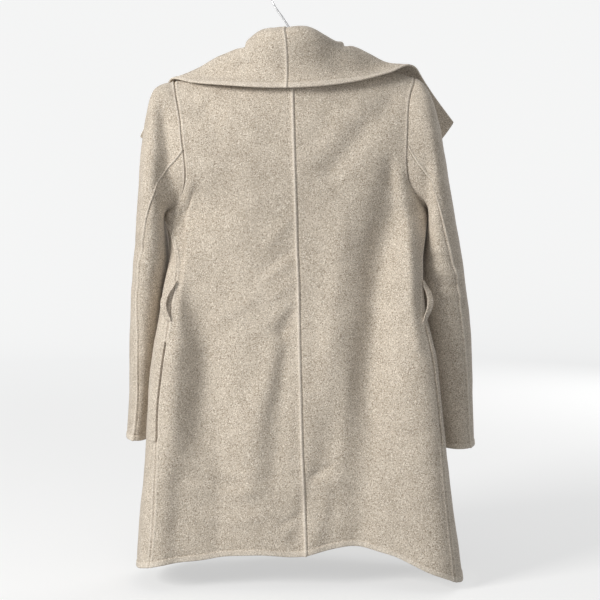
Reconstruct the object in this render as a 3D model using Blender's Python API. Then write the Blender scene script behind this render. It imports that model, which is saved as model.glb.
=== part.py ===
"""Women's wrap coat of double-faced wool hanging on a wooden hanger.

Its back is towards +Y, its front towards -Y, and +X is the wearer's left.
Lengths in the tables are millimetres, the meshes are in metres.
The origin is the inner crown of the hanger's hook, where a rod carries it.
"""
import math

import bmesh
import bpy
import numpy as np
from mathutils import Vector
from mathutils.bvhtree import BVHTree

for thing in list(bpy.data.objects):
    bpy.data.objects.remove(thing, do_unlink=True)

MM = 0.001
CLOTH = 2.2            # thickness of the double-faced wool
SEAM_GAP = 0.3         # between two sewn pieces
LAY_GAP = 5.0          # collar's middle surface above what it lies on
FACET_GAP = 3.6        # the same for the flat facets between its points
BREAK = -505.0         # height where the lapels end
TIP_ROWS = (0.0, 0.02, 0.06, 0.12, 0.2, 0.3, 0.42, 0.55, 0.68, 0.8, 0.9, 0.97, 1.0)
HEM_ROWS = (0.07, 0.13, 0.195, 0.29, 0.4, 0.55, 0.7, 0.85, 1.0)
NECK_END = 0.34        # share of a half back's width taken by the neckline
BACK_COLUMNS = (0.0, 0.1, 0.19, 0.27, NECK_END, 0.43, 0.53, 0.63, 0.73, 0.83, 0.91, 0.965, 1.0)
# Shares of the half ring's length at the hem, from the centre back and from the side seam, a column each.
BACK_HEM_SHARES = (0.0, 0.1, 0.2, 0.3, 0.4, 0.5, 0.59, 0.68, 0.76, 0.83, 0.895, 0.95, 1.0)
FRONT_HEM_SHARES = (0.0, 0.05, 0.11, 0.18, 0.28, 0.42, 0.58, 0.78, 1.0)
ARM_STRAIGHT = 0.68    # height share where the armhole starts to scoop out to the underarm

# Torso rings: half outlines, centre-back line, depths of back and front, height of the widest line,
# roundness of back and front, where the side seams lie, and how far they stand out behind the plain ring.
TORSO_COLUMNS = ("z", "left", "right", "centre", "back", "front", "wide", "round_back", "round_front",
                 "seam_left", "seam_right", "lift_left", "lift_right")
TORSO = (
    (-392, 212, -214, -5, 74, -76, 8, 2.5, 2.1, 8, 8, 0, 0),
    (-430, 207, -211, -6, 72, -78, 9, 2.7, 2.2, 21, 16, 9, 13),
    (-465, 205, -205, -7, 70, -80, 12, 2.9, 2.2, 34, 23, 15, 22),
    (-510, 212, -205, -9, 72, -83, 15, 3.1, 2.1, 48, 35, 18, 25),
    (-565, 219, -213, -10, 77, -86, 17, 3.2, 2.1, 56, 48, 22, 27),
    (-630, 231, -227, -11, 83, -90, 18, 3.3, 2.0, 62, 53, 25, 30),
    (-700, 236, -235, -13, 89, -94, 18, 3.3, 2.0, 64, 55, 28, 33),
    (-780, 241, -243, -15, 95, -97, 18, 3.3, 2.0, 69, 61, 29, 33),
    (-870, 249, -255, -19, 101, -100, 18, 3.3, 2.0, 75, 67, 29, 33),
    (-1000, 259, -273, -23, 108, -104, 18, 3.3, 2.0, 78, 75, 30, 32),
)
LIFT_START = 118.0     # distance from the middle at which the back starts to stand out towards the side seams
LIFT_FADE = 0.30       # share of the front's ring over which it returns to the plain ring

# Hem height by the angle round the ring from the centre back.
HEM_COLUMNS = ("angle", "left", "right")
HEM = (
    (0, -937, -933),
    (15, -937, -928),
    (35, -934, -921),
    (50, -936, -931),
    (60, -944, -964),
    (70, -957, -981),
    (78, -963, -980),
    (90, -966, -978),
    (120, -966, -972),
    (180, -964, -966),
)

HEM_CENTRE = -21.0     # x of the centre back at the hem

# Neckline of the back, from the nape to the neck point, then the shoulder seam to its tip.
TOP_COLUMNS = ("s", "x_left", "x_right", "y", "z_left", "z_right")
TOP = (
    (0.0, 0, 0, 50, -142, -142),
    (0.1, 22, -22, 47, -141, -141),
    (0.19, 41, -41, 38, -138.5, -138.5),
    (0.27, 57, -57, 22, -133.5, -133.5),
    (0.34, 67, -67, 4, -127.5, -128),
    (1.0, 196, -195, 0, -180, -174),
)

# Armhole by height share from the shoulder tip (0) to the underarm (1); mirrored for the right.
ARMHOLE_COLUMNS = ("r", "x_back", "y_back", "x_front", "y_front", "x_back_right")
ARMHOLE = (
    (0.0, 196, 0, 196, 0, 195),
    (0.02, 195.5, 9.5, 195, -9, 194.5),
    (0.06, 194, 19.5, 192, -18, 193),
    (0.12, 191.5, 30, 188, -28, 188),
    (0.2, 187.5, 41, 182, -38, 184),
    (0.3, 183, 51, 174, -48, 181.5),
    (0.42, 180, 59, 167, -55, 180),
    (0.55, 177, 62, 163, -59, 179),
    (0.68, 174, 60, 163, -56, 178.5),
    (0.8, 176, 51, 168, -45, 182),
    (0.9, 184.5, 36, 180, -29, 194),
    (0.97, 199, 21, 198, -10, 205),
    (1.0, 211, 8, 211, 8, 213),
)
UNDERARM_Z = {1: -392.0, -1: -386.0}
ARM_RING = -392.0      # height of the torso ring that the upper rows run into
HEM_RING = -960.0      # height of the torso ring that gives the hem's plan
SHARE_TURN = 0.2       # height share over which the columns move from their armhole to their hem shares

# Heights of the centre-back seam, which both halves share.
NAPE_Z = -142.0
CENTRE_UNDERARM_Z = -389.0
CENTRE_HEM_Z = -935.0

# Centre-back line and front neckline by the same height share.
CENTRE_COLUMNS = ("r", "back_y", "neck_x", "neck_y")
CENTRE = (
    (0.0, 50, 67, 4),
    (0.02, 53, 67.5, -4),
    (0.06, 56.5, 68, -13),
    (0.12, 60, 67, -22),
    (0.2, 64, 64, -34),
    (0.3, 69, 59, -46),
    (0.42, 74, 51, -58),
    (0.55, 77, 42, -68),
    (0.68, 78, 32, -73),
    (0.8, 77, 22, -75),
    (0.9, 75.5, 13, -76),
    (0.97, 74.5, 7, -76.5),
    (1.0, 74, 4, -77),
)

# Front edge below the underarm: neckline to the break, then the straight overlap edge.
EDGE_COLUMNS = ("z", "left", "right")
EDGE = (
    (-392, 4, -4),
    (-430, -9, 9),
    (-465, -21, 21),
    (-505, -34, 34),
    (-565, -37, 38),
    (-1000, -42, 45),
)
EDGE_REACH = 60.0      # how far past the middle the front rings are worked out
OVERLAP_LIFT = 13.0    # the right front lies this far in front of the left one at the overlap

# Largest folds of the back as depth (+ outward) along a line given at up to four heights.
FOLD_COLUMNS = ("name", "x1", "z1", "x2", "z2", "x3", "z3", "x4", "z4", "depth", "width")
BACK_FOLDS = (
    ("shoulder drag right", -152, -218, -122, -250, -94, -285, -58, -328, -5, 19),
    ("long trough right", -160, -345, -141, -460, -123, -600, -106, -960, -12, 29),
    ("side ridge right", -170, -340, -183, -430, -190, -500, -200, -600, 8, 15),
    ("long trough left", 134, -390, 131, -560, 130, -760, 134, -960, -9, 33),
    ("side ridge left", 176, -345, 185, -430, 190, -500, 198, -600, 7, 14),
    ("ridge beside centre", 30, -610, 46, -690, 60, -750, 72, -830, 4, 18),
    ("hollow beside centre", 14, -600, 20, -690, 27, -750, 32, -810, -3, 14),
)

# Collar with lapel by its own length share u: roll line from the neck seam, and outer edge.
COLLAR_COLUMNS = ("u", "stand_x", "stand_y", "stand_z", "edge_x", "edge_y", "edge_z", "roll_gap")
COLLAR_LEFT = (
    (0.0, 9.5, 7, 44, 10.5, 74, -197, 9),
    (0.05, 5, 7, 43, 60, 70, -196, 9),
    (0.1, 4, 6, 39, 112, 55, -191.5, 9),
    (0.15, 6, 5, 27, 162, 34, -184.5, 9),
    (0.2, 7, 3, 15, 201, 2, -178, 8.5),
    (0.28, 1, -4, 13, 215, -24, -191, 8),
    (0.36, -4, -6, 10, 232, -48, -212, 7.5),
    (0.42, -6, -6, 8.5, 247, -66, -234, 7),
    (0.48, -7, -6, 7, 263, -78, -262, 6.5),
    (0.56, -8, -6, 5.5, 226, -84, -292, 6),
    (0.66, -8, -5, 4, 168, -86, -338, 5.5),
    (0.76, -8, -4, 3, 108, -87, -390, 5.2),
    (0.86, -8, -3, 2.5, 48, -89, -444, 5),
    (0.94, -8, -2, 2, 2, -91, -484, 5),
    (1.0, -8, -2, 1, -24, -93, -511, 5),
)
COLLAR_RIGHT = (
    (0.0, 9.5, 7, 44, 10.5, 74, -197, 9),
    (0.05, 1, 7, 42, -40, 71, -194.5, 9),
    (0.1, -2, 6, 29, -98, 58, -185, 9),
    (0.15, -5, 5, 19, -150, 38, -172, 9),
    (0.2, -6, 3, 14, -199, 2, -167, 8.5),
    (0.28, -1, -4, 12, -220, -26, -187, 8),
    (0.36, 4, -6, 9.5, -240, -50, -208, 7.5),
    (0.42, 6, -6, 8.5, -269, -80, -238, 7),
    (0.48, 7, -6, 7, -247, -86, -272, 6.5),
    (0.56, 8, -6, 5.5, -212, -92, -306, 6),
    (0.66, 8, -5, 4, -158, -97, -350, 5.5),
    (0.76, 8, -4, 3, -100, -100, -400, 5.2),
    (0.86, 8, -4, 2.5, -40, -102, -452, 5),
    (0.94, 8, -4, 2, 8, -104, -488, 5),
    (1.0, 8, -4, 1, 26, -105, -512, 5),
)
NECK_SHARE = 0.2       # share of the collar's length that lies on the back neckline
LAPEL_SHARE = 0.76     # share at the underarm height
LAPEL_CORNER = {1: 0.48, -1: 0.42}
FALL_SHARES = (0.12, 0.34, 0.58, 0.8, 1.0)

# Sleeves: outer (upper) and inner (under) line, depth of the ring and its middle,
# pull of the armhole's shape, and the angle of the back seam.
SLEEVE_COLUMNS = ("outer_x", "outer_z", "inner_x", "inner_z", "middle_y", "half_depth", "pull", "seam")
SLEEVE_LEFT = (
    (207, -181.5, 217, -393.5, 4, 61, 0.82, 103),
    (219, -185.5, 221, -397.5, 4, 62, 0.64, 108),
    (228, -192, 221, -403.5, 3, 63, 0.48, 111),
    (233.5, -203, 219.5, -410, 2, 64, 0.34, 110),
    (240, -230, 217, -418, 1, 65, 0.22, 106),
    (247, -270, 213.5, -428, -1, 66, 0.12, 101),
    (253, -335, 211, -442, -5, 66, 0.05, 90),
    (260, -420, 209, -470, -13, 65, 0.0, 76),
    (269, -500, 214.5, -512, -23, 63, 0.0, 69),
    (274, -580, 224, -580, -34, 61, 0.0, 77),
    (277, -650, 231, -650, -44, 60, 0.0, 84),
    (280, -712, 238, -712, -54, 60, 0.0, 90),
    (285, -768, 247, -770, -62, 60, 0.0, 90),
)
SLEEVE_RIGHT = (
    (203, -177.5, 219, -387.5, 4, 61, 0.82, 105),
    (210, -184, 223, -391.5, 4, 62, 0.64, 110),
    (217, -194, 223, -397.5, 3, 63, 0.48, 111),
    (223, -208, 221.5, -404, 2, 64, 0.34, 109),
    (232, -238, 219, -412, 1, 65, 0.22, 105),
    (241, -283, 217, -422, -1, 66, 0.12, 101),
    (252, -345, 214.5, -436, -5, 66, 0.05, 93),
    (266, -420, 209.5, -470, -13, 65, 0.0, 81),
    (281, -500, 208, -512, -23, 63, 0.0, 66),
    (292, -585, 216, -585, -34, 61, 0.0, 64),
    (297, -655, 227, -655, -44, 60, 0.0, 63),
    (300, -718, 236, -718, -54, 60, 0.0, 62),
    (304, -782, 248, -784, -62, 60, 0.0, 62),
)
SLEEVE_ROUND = 2.15    # roundness of the sleeve's rings
ARMHOLE_DEEP = 60.0    # half depth of the plain ring that the armhole's own shape is measured against
FRONT_SEAM = 18        # column of the inner front sleeve seam, counted round the ring
BACK_SEAM = 7          # column of the back sleeve seam

# Hanger: a bar under the shoulder seams and a wire hook whose inner crown is the origin.
HANGER_THICK = 8.0
HANGER_DEEP = 26.0
HANGER_END = 178.0
HANGER_CLEAR = 1.9     # from the cloth's middle surface down to the bar
HOOK_WIRE = 3.6
HOOK_RADIUS = 37.0
HOOK_FOOT = -121.7

# Belt loops: strips that bow out of the side seams, by share of their length.
LOOP_COLUMNS = ("share", "out")
LOOP = ((0.0, 2.7), (0.1, 5.0), (0.3, 11.5), (0.5, 14.0), (0.7, 12.0), (0.9, 5.6), (1.0, 2.7))
LOOP_SIDES = {1: (-503.0, -565.0), -1: (-502.0, -566.0)}
LOOP_TURN = 1.2        # how strongly a loop's middle turns from the seam's outward direction to sideways
LOOP_WIDE = 11.0
LOOP_THICK = 2.4

# Pocket slits in the side seams: top, bottom, and the lip on the front's edge.
POCKET = {1: (-598.0, -756.0), -1: (-574.0, -764.0)}
LIP_WIDE = 9.0
LIP_THICK = 1.8


def column(table, names, name):
    k = names.index(name)
    return np.array([row[k] for row in table], float)


def smooth(xs, ys, x):
    """Monotone cubic through the table's points."""
    xs = np.asarray(xs, float)
    ys = np.asarray(ys, float)
    if xs[0] > xs[-1]:
        xs, ys = xs[::-1], ys[::-1]
    x = np.clip(np.asarray(x, float), xs[0], xs[-1])
    h = np.diff(xs)
    d = np.diff(ys) / h
    m = np.zeros_like(xs)
    same = d[1:] * d[:-1] > 0
    w1 = 2 * h[1:] + h[:-1]
    w2 = h[1:] + 2 * h[:-1]
    with np.errstate(divide="ignore", invalid="ignore"):
        inner = (w1 + w2) / (w1 / d[:-1] + w2 / d[1:])
    m[1:-1] = np.where(same, inner, 0.0)
    m[0], m[-1] = d[0], d[-1]
    k = np.clip(np.searchsorted(xs, x, side="right") - 1, 0, len(h) - 1)
    t = (x - xs[k]) / h[k]
    t2, t3 = t * t, t * t * t
    return ((2 * t3 - 3 * t2 + 1) * ys[k] + (t3 - 2 * t2 + t) * h[k] * m[k]
            + (-2 * t3 + 3 * t2) * ys[k + 1] + (t3 - t2) * h[k] * m[k + 1])


def read(table, names, key, name, at):
    return smooth(column(table, names, key), column(table, names, name), at)


def top_line(name, s):
    """Points along neckline and shoulder seam; the shoulder seam is straight."""
    out = []
    for key in ("x_" + name, "y", "z_" + name):
        curve = read(TOP[:-1], TOP_COLUMNS, "s", key, s)
        ends = column(TOP, TOP_COLUMNS, key)[-2:]
        line = ends[0] + (ends[1] - ends[0]) * (s - NECK_END) / (1 - NECK_END)
        out.append(np.where(s > NECK_END, line, curve))
    return np.stack(out, axis=1)


def torso(name, z):
    return read(TORSO, TORSO_COLUMNS, "z", name, z)


def resample(line, shares):
    """Points of a polyline at the given shares of its length."""
    step = np.linalg.norm(np.diff(line, axis=0), axis=1)
    run = np.concatenate([[0.0], np.cumsum(step)])
    at = np.asarray(shares) * run[-1]
    return np.stack([np.interp(at, run, line[:, k]) for k in range(line.shape[1])], axis=1)


def lift(name, z, ring, inward):
    """Stands a half ring of the back, or the start of a front's, out towards the back at the side seam."""
    out = ring.copy()
    out[:, 1] += torso("lift_" + name, z) * inward * inward * (3 - 2 * inward)
    return out


def ring_back(z, side):
    """Half ring of the back at height z from the centre back to the side seam."""
    name = "left" if side > 0 else "right"
    wide, mid, yw = torso(name, z), torso("centre", z), torso("wide", z)
    n = torso("round_back", z)
    a = np.linspace(0.0, math.pi / 2, 240)
    x = mid + (wide - mid) * np.sin(a) ** (2 / n)
    y = yw + (torso("back", z) - yw) * np.abs(np.cos(a)) ** (2 / n)
    seam = max(torso("seam_" + name, z), yw)
    keep = y >= seam
    end = np.array([[np.interp(-seam, -y, x), seam]])
    ring = np.concatenate([np.stack([x[keep], y[keep]], axis=1), end])
    out = np.abs(ring[:, 0])
    return lift(name, z, ring, np.clip((out - LIFT_START) / (out[-1] - LIFT_START), 0.0, 1.0))


def overlap_lift(x, z, side):
    """How far the right front stands in front of the left one, and both at the lapels."""
    if side > 0:
        return np.zeros_like(x)
    across = np.clip((x + 150.0) / 100.0, 0.0, 1.0)
    across = across * across * (3 - 2 * across)
    down = np.clip((-z - 150.0) / 130.0, 0.0, 1.0)
    return OVERLAP_LIFT * across * down * down * (3 - 2 * down)


def ring_front(z, side):
    """Half ring of the front at height z from the side seam to the front edge."""
    name = "left" if side > 0 else "right"
    wide, other = torso(name, z), torso("right" if side > 0 else "left", z)
    yw, nb, nf = torso("wide", z), torso("round_back", z), torso("round_front", z)
    mid = torso("centre", z)
    seam = max(torso("seam_" + name, z), yw)
    a = np.linspace(math.pi / 2, 0.0, 240)
    y = yw + (torso("back", z) - yw) * np.abs(np.cos(a)) ** (2 / nb)
    x = mid + (wide - mid) * np.sin(a) ** (2 / nb)
    part = y <= seam
    back = np.stack([x[part], y[part]], axis=1)[::-1]
    start = np.array([[np.interp(seam, y, x), seam]])
    edge = read(EDGE, EDGE_COLUMNS, "z", name, z)
    b = np.linspace(0.0, math.pi / 2, 300)
    xf = wide * np.abs(np.cos(b)) ** (2 / nf)
    yf = yw + (torso("front", z) - yw) * np.sin(b) ** (2 / nf)
    far = np.linspace(0.0, EDGE_REACH, 40)[1:]
    past = yw + (torso("front", z) - yw) * (1 - np.abs(far / other) ** nf) ** (1 / nf)
    xf = np.concatenate([xf, -side * far])
    yf = np.concatenate([yf, past])
    before = xf * side > edge * side
    last = np.array([[edge, np.interp(-edge * side, -xf * side, yf)]])
    front = np.stack([xf[before], yf[before]], axis=1)[1:]
    line = np.concatenate([start, back[back[:, 1] < seam - 0.01], front, last])
    line[:, 1] -= overlap_lift(line[:, 0], z, side)
    run = np.concatenate([[0.0], np.cumsum(np.linalg.norm(np.diff(line, axis=0), axis=1))])
    return lift(name, z, line, 1.0 - np.clip(run / (LIFT_FADE * run[-1]), 0.0, 1.0))


def hem_height(x, y, side):
    angle = np.degrees(np.arctan2(np.abs(x - HEM_CENTRE), y))
    return read(HEM, HEM_COLUMNS, "angle", "left" if side > 0 else "right", angle)


def line_distance(x, z, points):
    best = np.full(np.shape(x), np.inf)
    for (ax, az), (bx, bz) in zip(points[:-1], points[1:]):
        dx, dz = bx - ax, bz - az
        t = np.clip(((x - ax) * dx + (z - az) * dz) / (dx * dx + dz * dz), 0.0, 1.0)
        best = np.minimum(best, np.hypot(x - ax - t * dx, z - az - t * dz))
    return best


def back_folds(x, z):
    out = np.zeros(np.shape(x))
    for row in BACK_FOLDS:
        fold = dict(zip(FOLD_COLUMNS, row))
        points = [(fold[f"x{k}"], fold[f"z{k}"]) for k in (1, 2, 3, 4)]
        out = out + fold["depth"] * np.exp(-(line_distance(x, z, points) / fold["width"]) ** 2)
    return out


def rise(r):
    """Share of the way from the shoulder seam to the full depth of back or front."""
    t = 1 - np.clip(2.0 * np.asarray(r, float), 0.0, 1.0)
    return (1 - t ** 1.5) ** (2 / 3)


def lower_rows(ring, side, shares, hem_shares, heights):
    """Rows from the underarm to the hem; heights are shares of each column's way down."""
    top = UNDERARM_Z[side]
    low = resample(ring(HEM_RING, side), hem_shares)
    hem = hem_height(low[:, 0], low[:, 1], side)
    rows = []
    for q in heights:
        z = top + (hem - top) * q
        turn = min(1.0, q / SHARE_TURN)
        at = (1 - turn) * np.asarray(shares) + turn * np.asarray(hem_shares)
        xy = [resample(ring(z[j], side), [at[j]])[0] for j in range(len(at))]
        rows.append(np.column_stack([xy, z]))
    return np.array(rows)


def upper_rows(ring, top, arm, inner, row_shares):
    """Rows from the shoulder seam to the underarm, and each column's share of the ring there.

    ring: the half ring at the underarm; top: points along neckline and shoulder;
    arm and inner: the two side lines.
    """
    rows = []
    if abs(ring[0, 0] - inner[-1, 0]) > abs(ring[-1, 0] - inner[-1, 0]):
        ring = ring[::-1]
    x0, x1 = ring[0, 0], ring[-1, 0]
    y0, y1 = ring[0, 1], ring[-1, 1]
    part = (ring[:, 0] - x0) / (x1 - x0)
    depth = (ring[:, 1] - y1) / (y0 - y1)
    across = (top[:, 0] - top[0, 0]) / (top[-1, 0] - top[0, 0])
    hold = float(np.interp(ARM_STRAIGHT, row_shares, arm[:, 0]))
    for k, r in enumerate(row_shares):
        left, right = inner[k], arm[k]
        straight = right[0] if r <= ARM_STRAIGHT else hold
        x = left[0] + (straight - left[0]) * across + (right[0] - straight) * across ** 4
        z = (1 - r) * top[:, 2] + r * arm[-1, 2]
        u = (x - left[0]) / (right[0] - left[0])
        f = float(rise(r))
        w = np.clip((r - 0.5) / 0.5, 0.0, 1.0)
        w = w * w * (3 - 2 * w)
        soft = (1 - (0.9 * u) ** 2.4) ** (1 / 2.4)
        soft = (soft - soft[-1]) / (soft[0] - soft[-1])
        shape = (1 - w) * soft + w * np.interp(u, part, depth)
        ya, yb = 0.0, 0.0
        if f > 0:
            ya = (left[1] - (1 - f) * top[0, 1]) / f
            yb = (right[1] - (1 - f) * top[-1, 1]) / f
        y = (1 - f) * top[:, 1] + f * (yb + (ya - yb) * shape)
        rows.append(np.stack([x, y, z], axis=1))
    rows[0] = top
    run = np.concatenate([[0.0], np.cumsum(np.linalg.norm(np.diff(ring, axis=0), axis=1))])
    order = np.argsort(ring[:, 0])
    shares = np.interp(rows[-1][:, 0], ring[order, 0], run[order]) / run[-1]
    return np.array(rows), shares


def armhole(side, back, row_shares):
    """Points of the armhole seam from the shoulder tip to the underarm."""
    name = "x_back_right" if back and side < 0 else ("x_back" if back else "x_front")
    x = read(ARMHOLE, ARMHOLE_COLUMNS, "r", name, row_shares)
    y = read(ARMHOLE, ARMHOLE_COLUMNS, "r", "y_back" if back else "y_front", row_shares)
    tip = column(TOP, TOP_COLUMNS, "z_left" if side > 0 else "z_right")[-1]
    tip_x = column(TOP, TOP_COLUMNS, "x_left" if side > 0 else "x_right")[-1]
    if side < 0 and not back:
        x = x + (abs(tip_x) - 196) + 3 * np.asarray(row_shares)
    z = tip + (UNDERARM_Z[side] - tip) * np.asarray(row_shares)
    return np.stack([side * x, y, z], axis=1)


def back_panel(side, columns, rows, hem_rows):
    name = "left" if side > 0 else "right"
    arm = armhole(side, True, rows)
    s = np.asarray(columns)
    top = top_line(name, s)
    top[:, 0] += 1.0 * np.clip(1 - s / NECK_END, 0.0, 1.0)
    r = np.asarray(rows)
    cb = read(CENTRE, CENTRE_COLUMNS, "r", "back_y", r)
    z = top[0, 2] + (UNDERARM_Z[1] - top[0, 2]) * r
    x = 1.0 - 6.0 * r ** 1.4
    inner = np.stack([x, cb, z], axis=1)
    ring = ring_back(ARM_RING, side)
    upper, shares = upper_rows(ring, top, arm, inner, r)
    upper[-1, 0, :2], upper[-1, -1] = ring[0], arm[-1]
    lower = lower_rows(ring_back, side, shares, BACK_HEM_SHARES, hem_rows)
    grid = np.concatenate([upper, lower])
    grid[:, 0, 2] = centre_heights(rows, hem_rows)
    window = np.clip((1 - s) / 0.16, 0.0, 1.0)
    window = window * window * (3 - 2 * window)
    grid[:, :, 1] += back_folds(grid[:, :, 0], grid[:, :, 2]) * window
    return grid


def centre_heights(rows, hem_rows):
    upper = [NAPE_Z + (CENTRE_UNDERARM_Z - NAPE_Z) * r for r in rows]
    lower = [CENTRE_UNDERARM_Z + (CENTRE_HEM_Z - CENTRE_UNDERARM_Z) * q for q in hem_rows]
    return np.array(upper + lower)


def front_panel(side, rows, hem_rows):
    name = "left" if side > 0 else "right"
    arm = armhole(side, False, rows)
    s = np.array([c for c in BACK_COLUMNS if c >= NECK_END][::-1])
    top = top_line(name, s)
    r = np.asarray(rows)
    nx = side * read(CENTRE, CENTRE_COLUMNS, "r", "neck_x", r)
    ny = read(CENTRE, CENTRE_COLUMNS, "r", "neck_y", r)
    nz = top[-1, 2] + (UNDERARM_Z[side] - top[-1, 2]) * r
    ny = ny - overlap_lift(nx, nz, side)
    inner = np.stack([nx, ny, nz], axis=1)
    upper, shares = upper_rows(ring_front(ARM_RING, side), top[::-1], arm, inner, r)
    lower = lower_rows(ring_front, side, 1.0 - shares[::-1], FRONT_HEM_SHARES, hem_rows)
    return np.concatenate([upper[:, ::-1], lower])


def collar_seam(side, back, front):
    """The seam line of the collar: back neckline, then the front's neck edge down to the break."""
    neck = [k for k, c in enumerate(BACK_COLUMNS) if c <= NECK_END]
    line = [back[0, k] for k in neck]
    line += [front[k, -1] for k in range(1, len(TIP_ROWS))]
    line += [p for p in front[len(TIP_ROWS):, -1] if p[2] > BREAK - 12.0]
    return np.array(line)


def normals(grid):
    du = np.gradient(grid, axis=0)
    dv = np.gradient(grid, axis=1)
    n = np.cross(du, dv)
    return n / np.maximum(np.linalg.norm(n, axis=2, keepdims=True), 1e-9)


def faces_of(nr, nc, closed=False):
    out = []
    for i in range(nr - 1):
        for j in range(nc if closed else nc - 1):
            k = (j + 1) % nc
            a, b, c, d = i * nc + j, i * nc + k, (i + 1) * nc + k, (i + 1) * nc + j
            out.append((a, b, c, d))
    return out


class Panel:
    """A cloth wall on a grid of middle points with outward normals."""

    def __init__(self, name, grid, flip=False):
        self.name = name
        self.grid = grid
        n = normals(grid)
        self.normal = -n if flip else n

    def wall(self):
        g = self.grid.copy()
        half = SEAM_GAP / 2
        for edge, inner in (((0, slice(None)), (1, slice(None))), ((-1, slice(None)), (-2, slice(None))),
                            ((slice(None), 0), (slice(None), 1)), ((slice(None), -1), (slice(None), -2))):
            # half the gap, square to the seam
            d = self.grid[inner] - self.grid[edge]
            along = np.gradient(self.grid[edge], axis=0)
            along /= np.linalg.norm(along, axis=1, keepdims=True)
            d -= along * np.sum(d * along, axis=1, keepdims=True)
            g[edge] = g[edge] + d / np.linalg.norm(d, axis=1, keepdims=True) * half
        nr, nc = g.shape[:2]
        outer = (g + self.normal * CLOTH / 2).reshape(-1, 3)
        inside = (g - self.normal * CLOTH / 2).reshape(-1, 3)
        verts = np.concatenate([outer, inside])
        m = nr * nc
        quads = []
        for a, b, c, d in faces_of(nr, nc):
            quads += [(a, b, c), (a, c, d), (c + m, b + m, a + m), (d + m, c + m, a + m)]
        rim = [j for j in range(nc)] + [i * nc + nc - 1 for i in range(1, nr)]
        rim += [(nr - 1) * nc + j for j in range(nc - 2, -1, -1)] + [i * nc for i in range(nr - 2, 0, -1)]
        order = [tuple(p) for p in np.round(self.grid.reshape(-1, 3), 2)]
        for a, b in zip(rim, rim[1:] + rim[:1]):
            # two sewn pieces split the twisted strip between them along the same diagonal
            if order[a] < order[b]:
                quads += [(b, a, a + m), (b, a + m, b + m)]
            else:
                quads += [(b, a, b + m), (a, a + m, b + m)]
        return verts, quads


def unit(v):
    return v / max(np.linalg.norm(v), 1e-9)


def share(pieces):
    """Where two sewn pieces meet, both end on the plane that halves the angle between them."""
    places = {}
    for piece in pieces:
        g = piece.grid
        nr, nc = g.shape[:2]
        for i in range(nr):
            for j in range(nc):
                row, col = i in (0, nr - 1), j in (0, nc - 1)
                if not (row or col):
                    continue
                down, side = 1 if i == 0 else nr - 2, 1 if j == 0 else nc - 2
                if row and col:
                    spot = (piece, i, j, None, None, ((i, side), (down, j)))
                else:
                    inner = (down, j) if row else (i, side)
                    beside = ((i, j - 1), (i, j + 1)) if row else ((i - 1, j), (i + 1, j))
                    spot = (piece, i, j, g[inner] - g[i, j], g[beside[1]] - g[beside[0]], beside)
                places.setdefault(tuple(np.round(g[i, j], 2)), []).append(spot)
    done, meets = set(), []
    for spots in places.values():
        if len(spots) < 2:
            continue
        if len(spots) > 2 or any(v[3] is None for v in spots):
            meets.append(spots)
            continue
        along = unit(spots[0][4])
        ways = [unit(v[3] - along * float(v[3] @ along)) for v in spots]
        n = unit(np.cross(along, ways[0] - ways[1]))
        if n @ sum(v[0].normal[v[1], v[2]] for v in spots) < 0:
            n = -n
        for v in spots:
            v[0].normal[v[1], v[2]] = n
            done.add((v[0].name, v[1], v[2]))
    for spots in meets:
        near = [v[0].normal[k] for v in spots for k in v[5] if (v[0].name, *k) in done]
        n = unit(sum(near)) if near else unit(sum(v[0].normal[v[1], v[2]] for v in spots))
        for v in spots:
            v[0].normal[v[1], v[2]] = n


def make(name, verts, faces, material):
    mesh = bpy.data.meshes.new(name)
    places = [tuple(float(c) * MM for c in v) for v in verts]
    mesh.from_pydata(places, [], [tuple(int(i) for i in f) for f in faces])
    mesh.update()
    obj = bpy.data.objects.new(name, mesh)
    bpy.context.scene.collection.objects.link(obj)
    work = bmesh.new()
    work.from_mesh(mesh)
    bmesh.ops.triangulate(work, faces=work.faces[:], quad_method="FIXED")
    bmesh.ops.recalc_face_normals(work, faces=work.faces[:])
    if work.calc_volume(signed=True) < 0:
        bmesh.ops.reverse_faces(work, faces=work.faces[:])
    work.to_mesh(mesh)
    work.free()
    mesh.materials.append(material)
    return obj


def material(name, colour, rough, metal=0.0):
    mat = bpy.data.materials.new(name)
    mat.use_nodes = True
    shader = mat.node_tree.nodes["Principled BSDF"]
    shader.inputs["Base Color"].default_value = (*colour, 1.0)
    shader.inputs["Roughness"].default_value = rough
    shader.inputs["Metallic"].default_value = metal
    return mat


def sleeve(side, table, arm_back, arm_front):
    """Closed rings of one sleeve, from the armhole to the cuff."""
    base = np.concatenate([arm_back, arm_front[-2:0:-1]])
    r = np.asarray(TIP_ROWS)
    angle = np.degrees(np.arccos(1 - 2 * r))
    angles = np.concatenate([angle, 360.0 - angle[-2:0:-1]])
    top, low = base[0], base[len(TIP_ROWS) - 1]
    half = (top - low) / 2
    mid = (top + low) / 2
    plain = mid + half * np.cos(np.radians(angles))[:, None]
    plain[:, 1] += ARMHOLE_DEEP * np.sin(np.radians(angles))
    deviation = base - plain
    rings = [base]
    start = angles[BACK_SEAM]
    for row in table:
        v = dict(zip(SLEEVE_COLUMNS, row))
        t = np.array([side * v["outer_x"], v["middle_y"] - 4.0 * v["pull"], v["outer_z"]])
        b = np.array([side * v["inner_x"], v["middle_y"] + 4.0 * v["pull"], v["inner_z"]])
        a = angles.copy()
        first = a <= start
        second = (a > start) & (a < 180)
        a[first] = angles[first] * v["seam"] / start
        a[second] = v["seam"] + (angles[second] - start) * (180 - v["seam"]) / (180 - start)
        c, s = np.cos(np.radians(a)), np.sin(np.radians(a))
        c = np.sign(c) * np.abs(c) ** (2 / SLEEVE_ROUND)
        s = np.sign(s) * np.abs(s) ** (2 / SLEEVE_ROUND)
        ring = (t + b) / 2 + (t - b) / 2 * c[:, None]
        ring[:, 1] += v["half_depth"] * s
        rings.append(ring + deviation * v["pull"])
    return np.array(rings)


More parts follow.
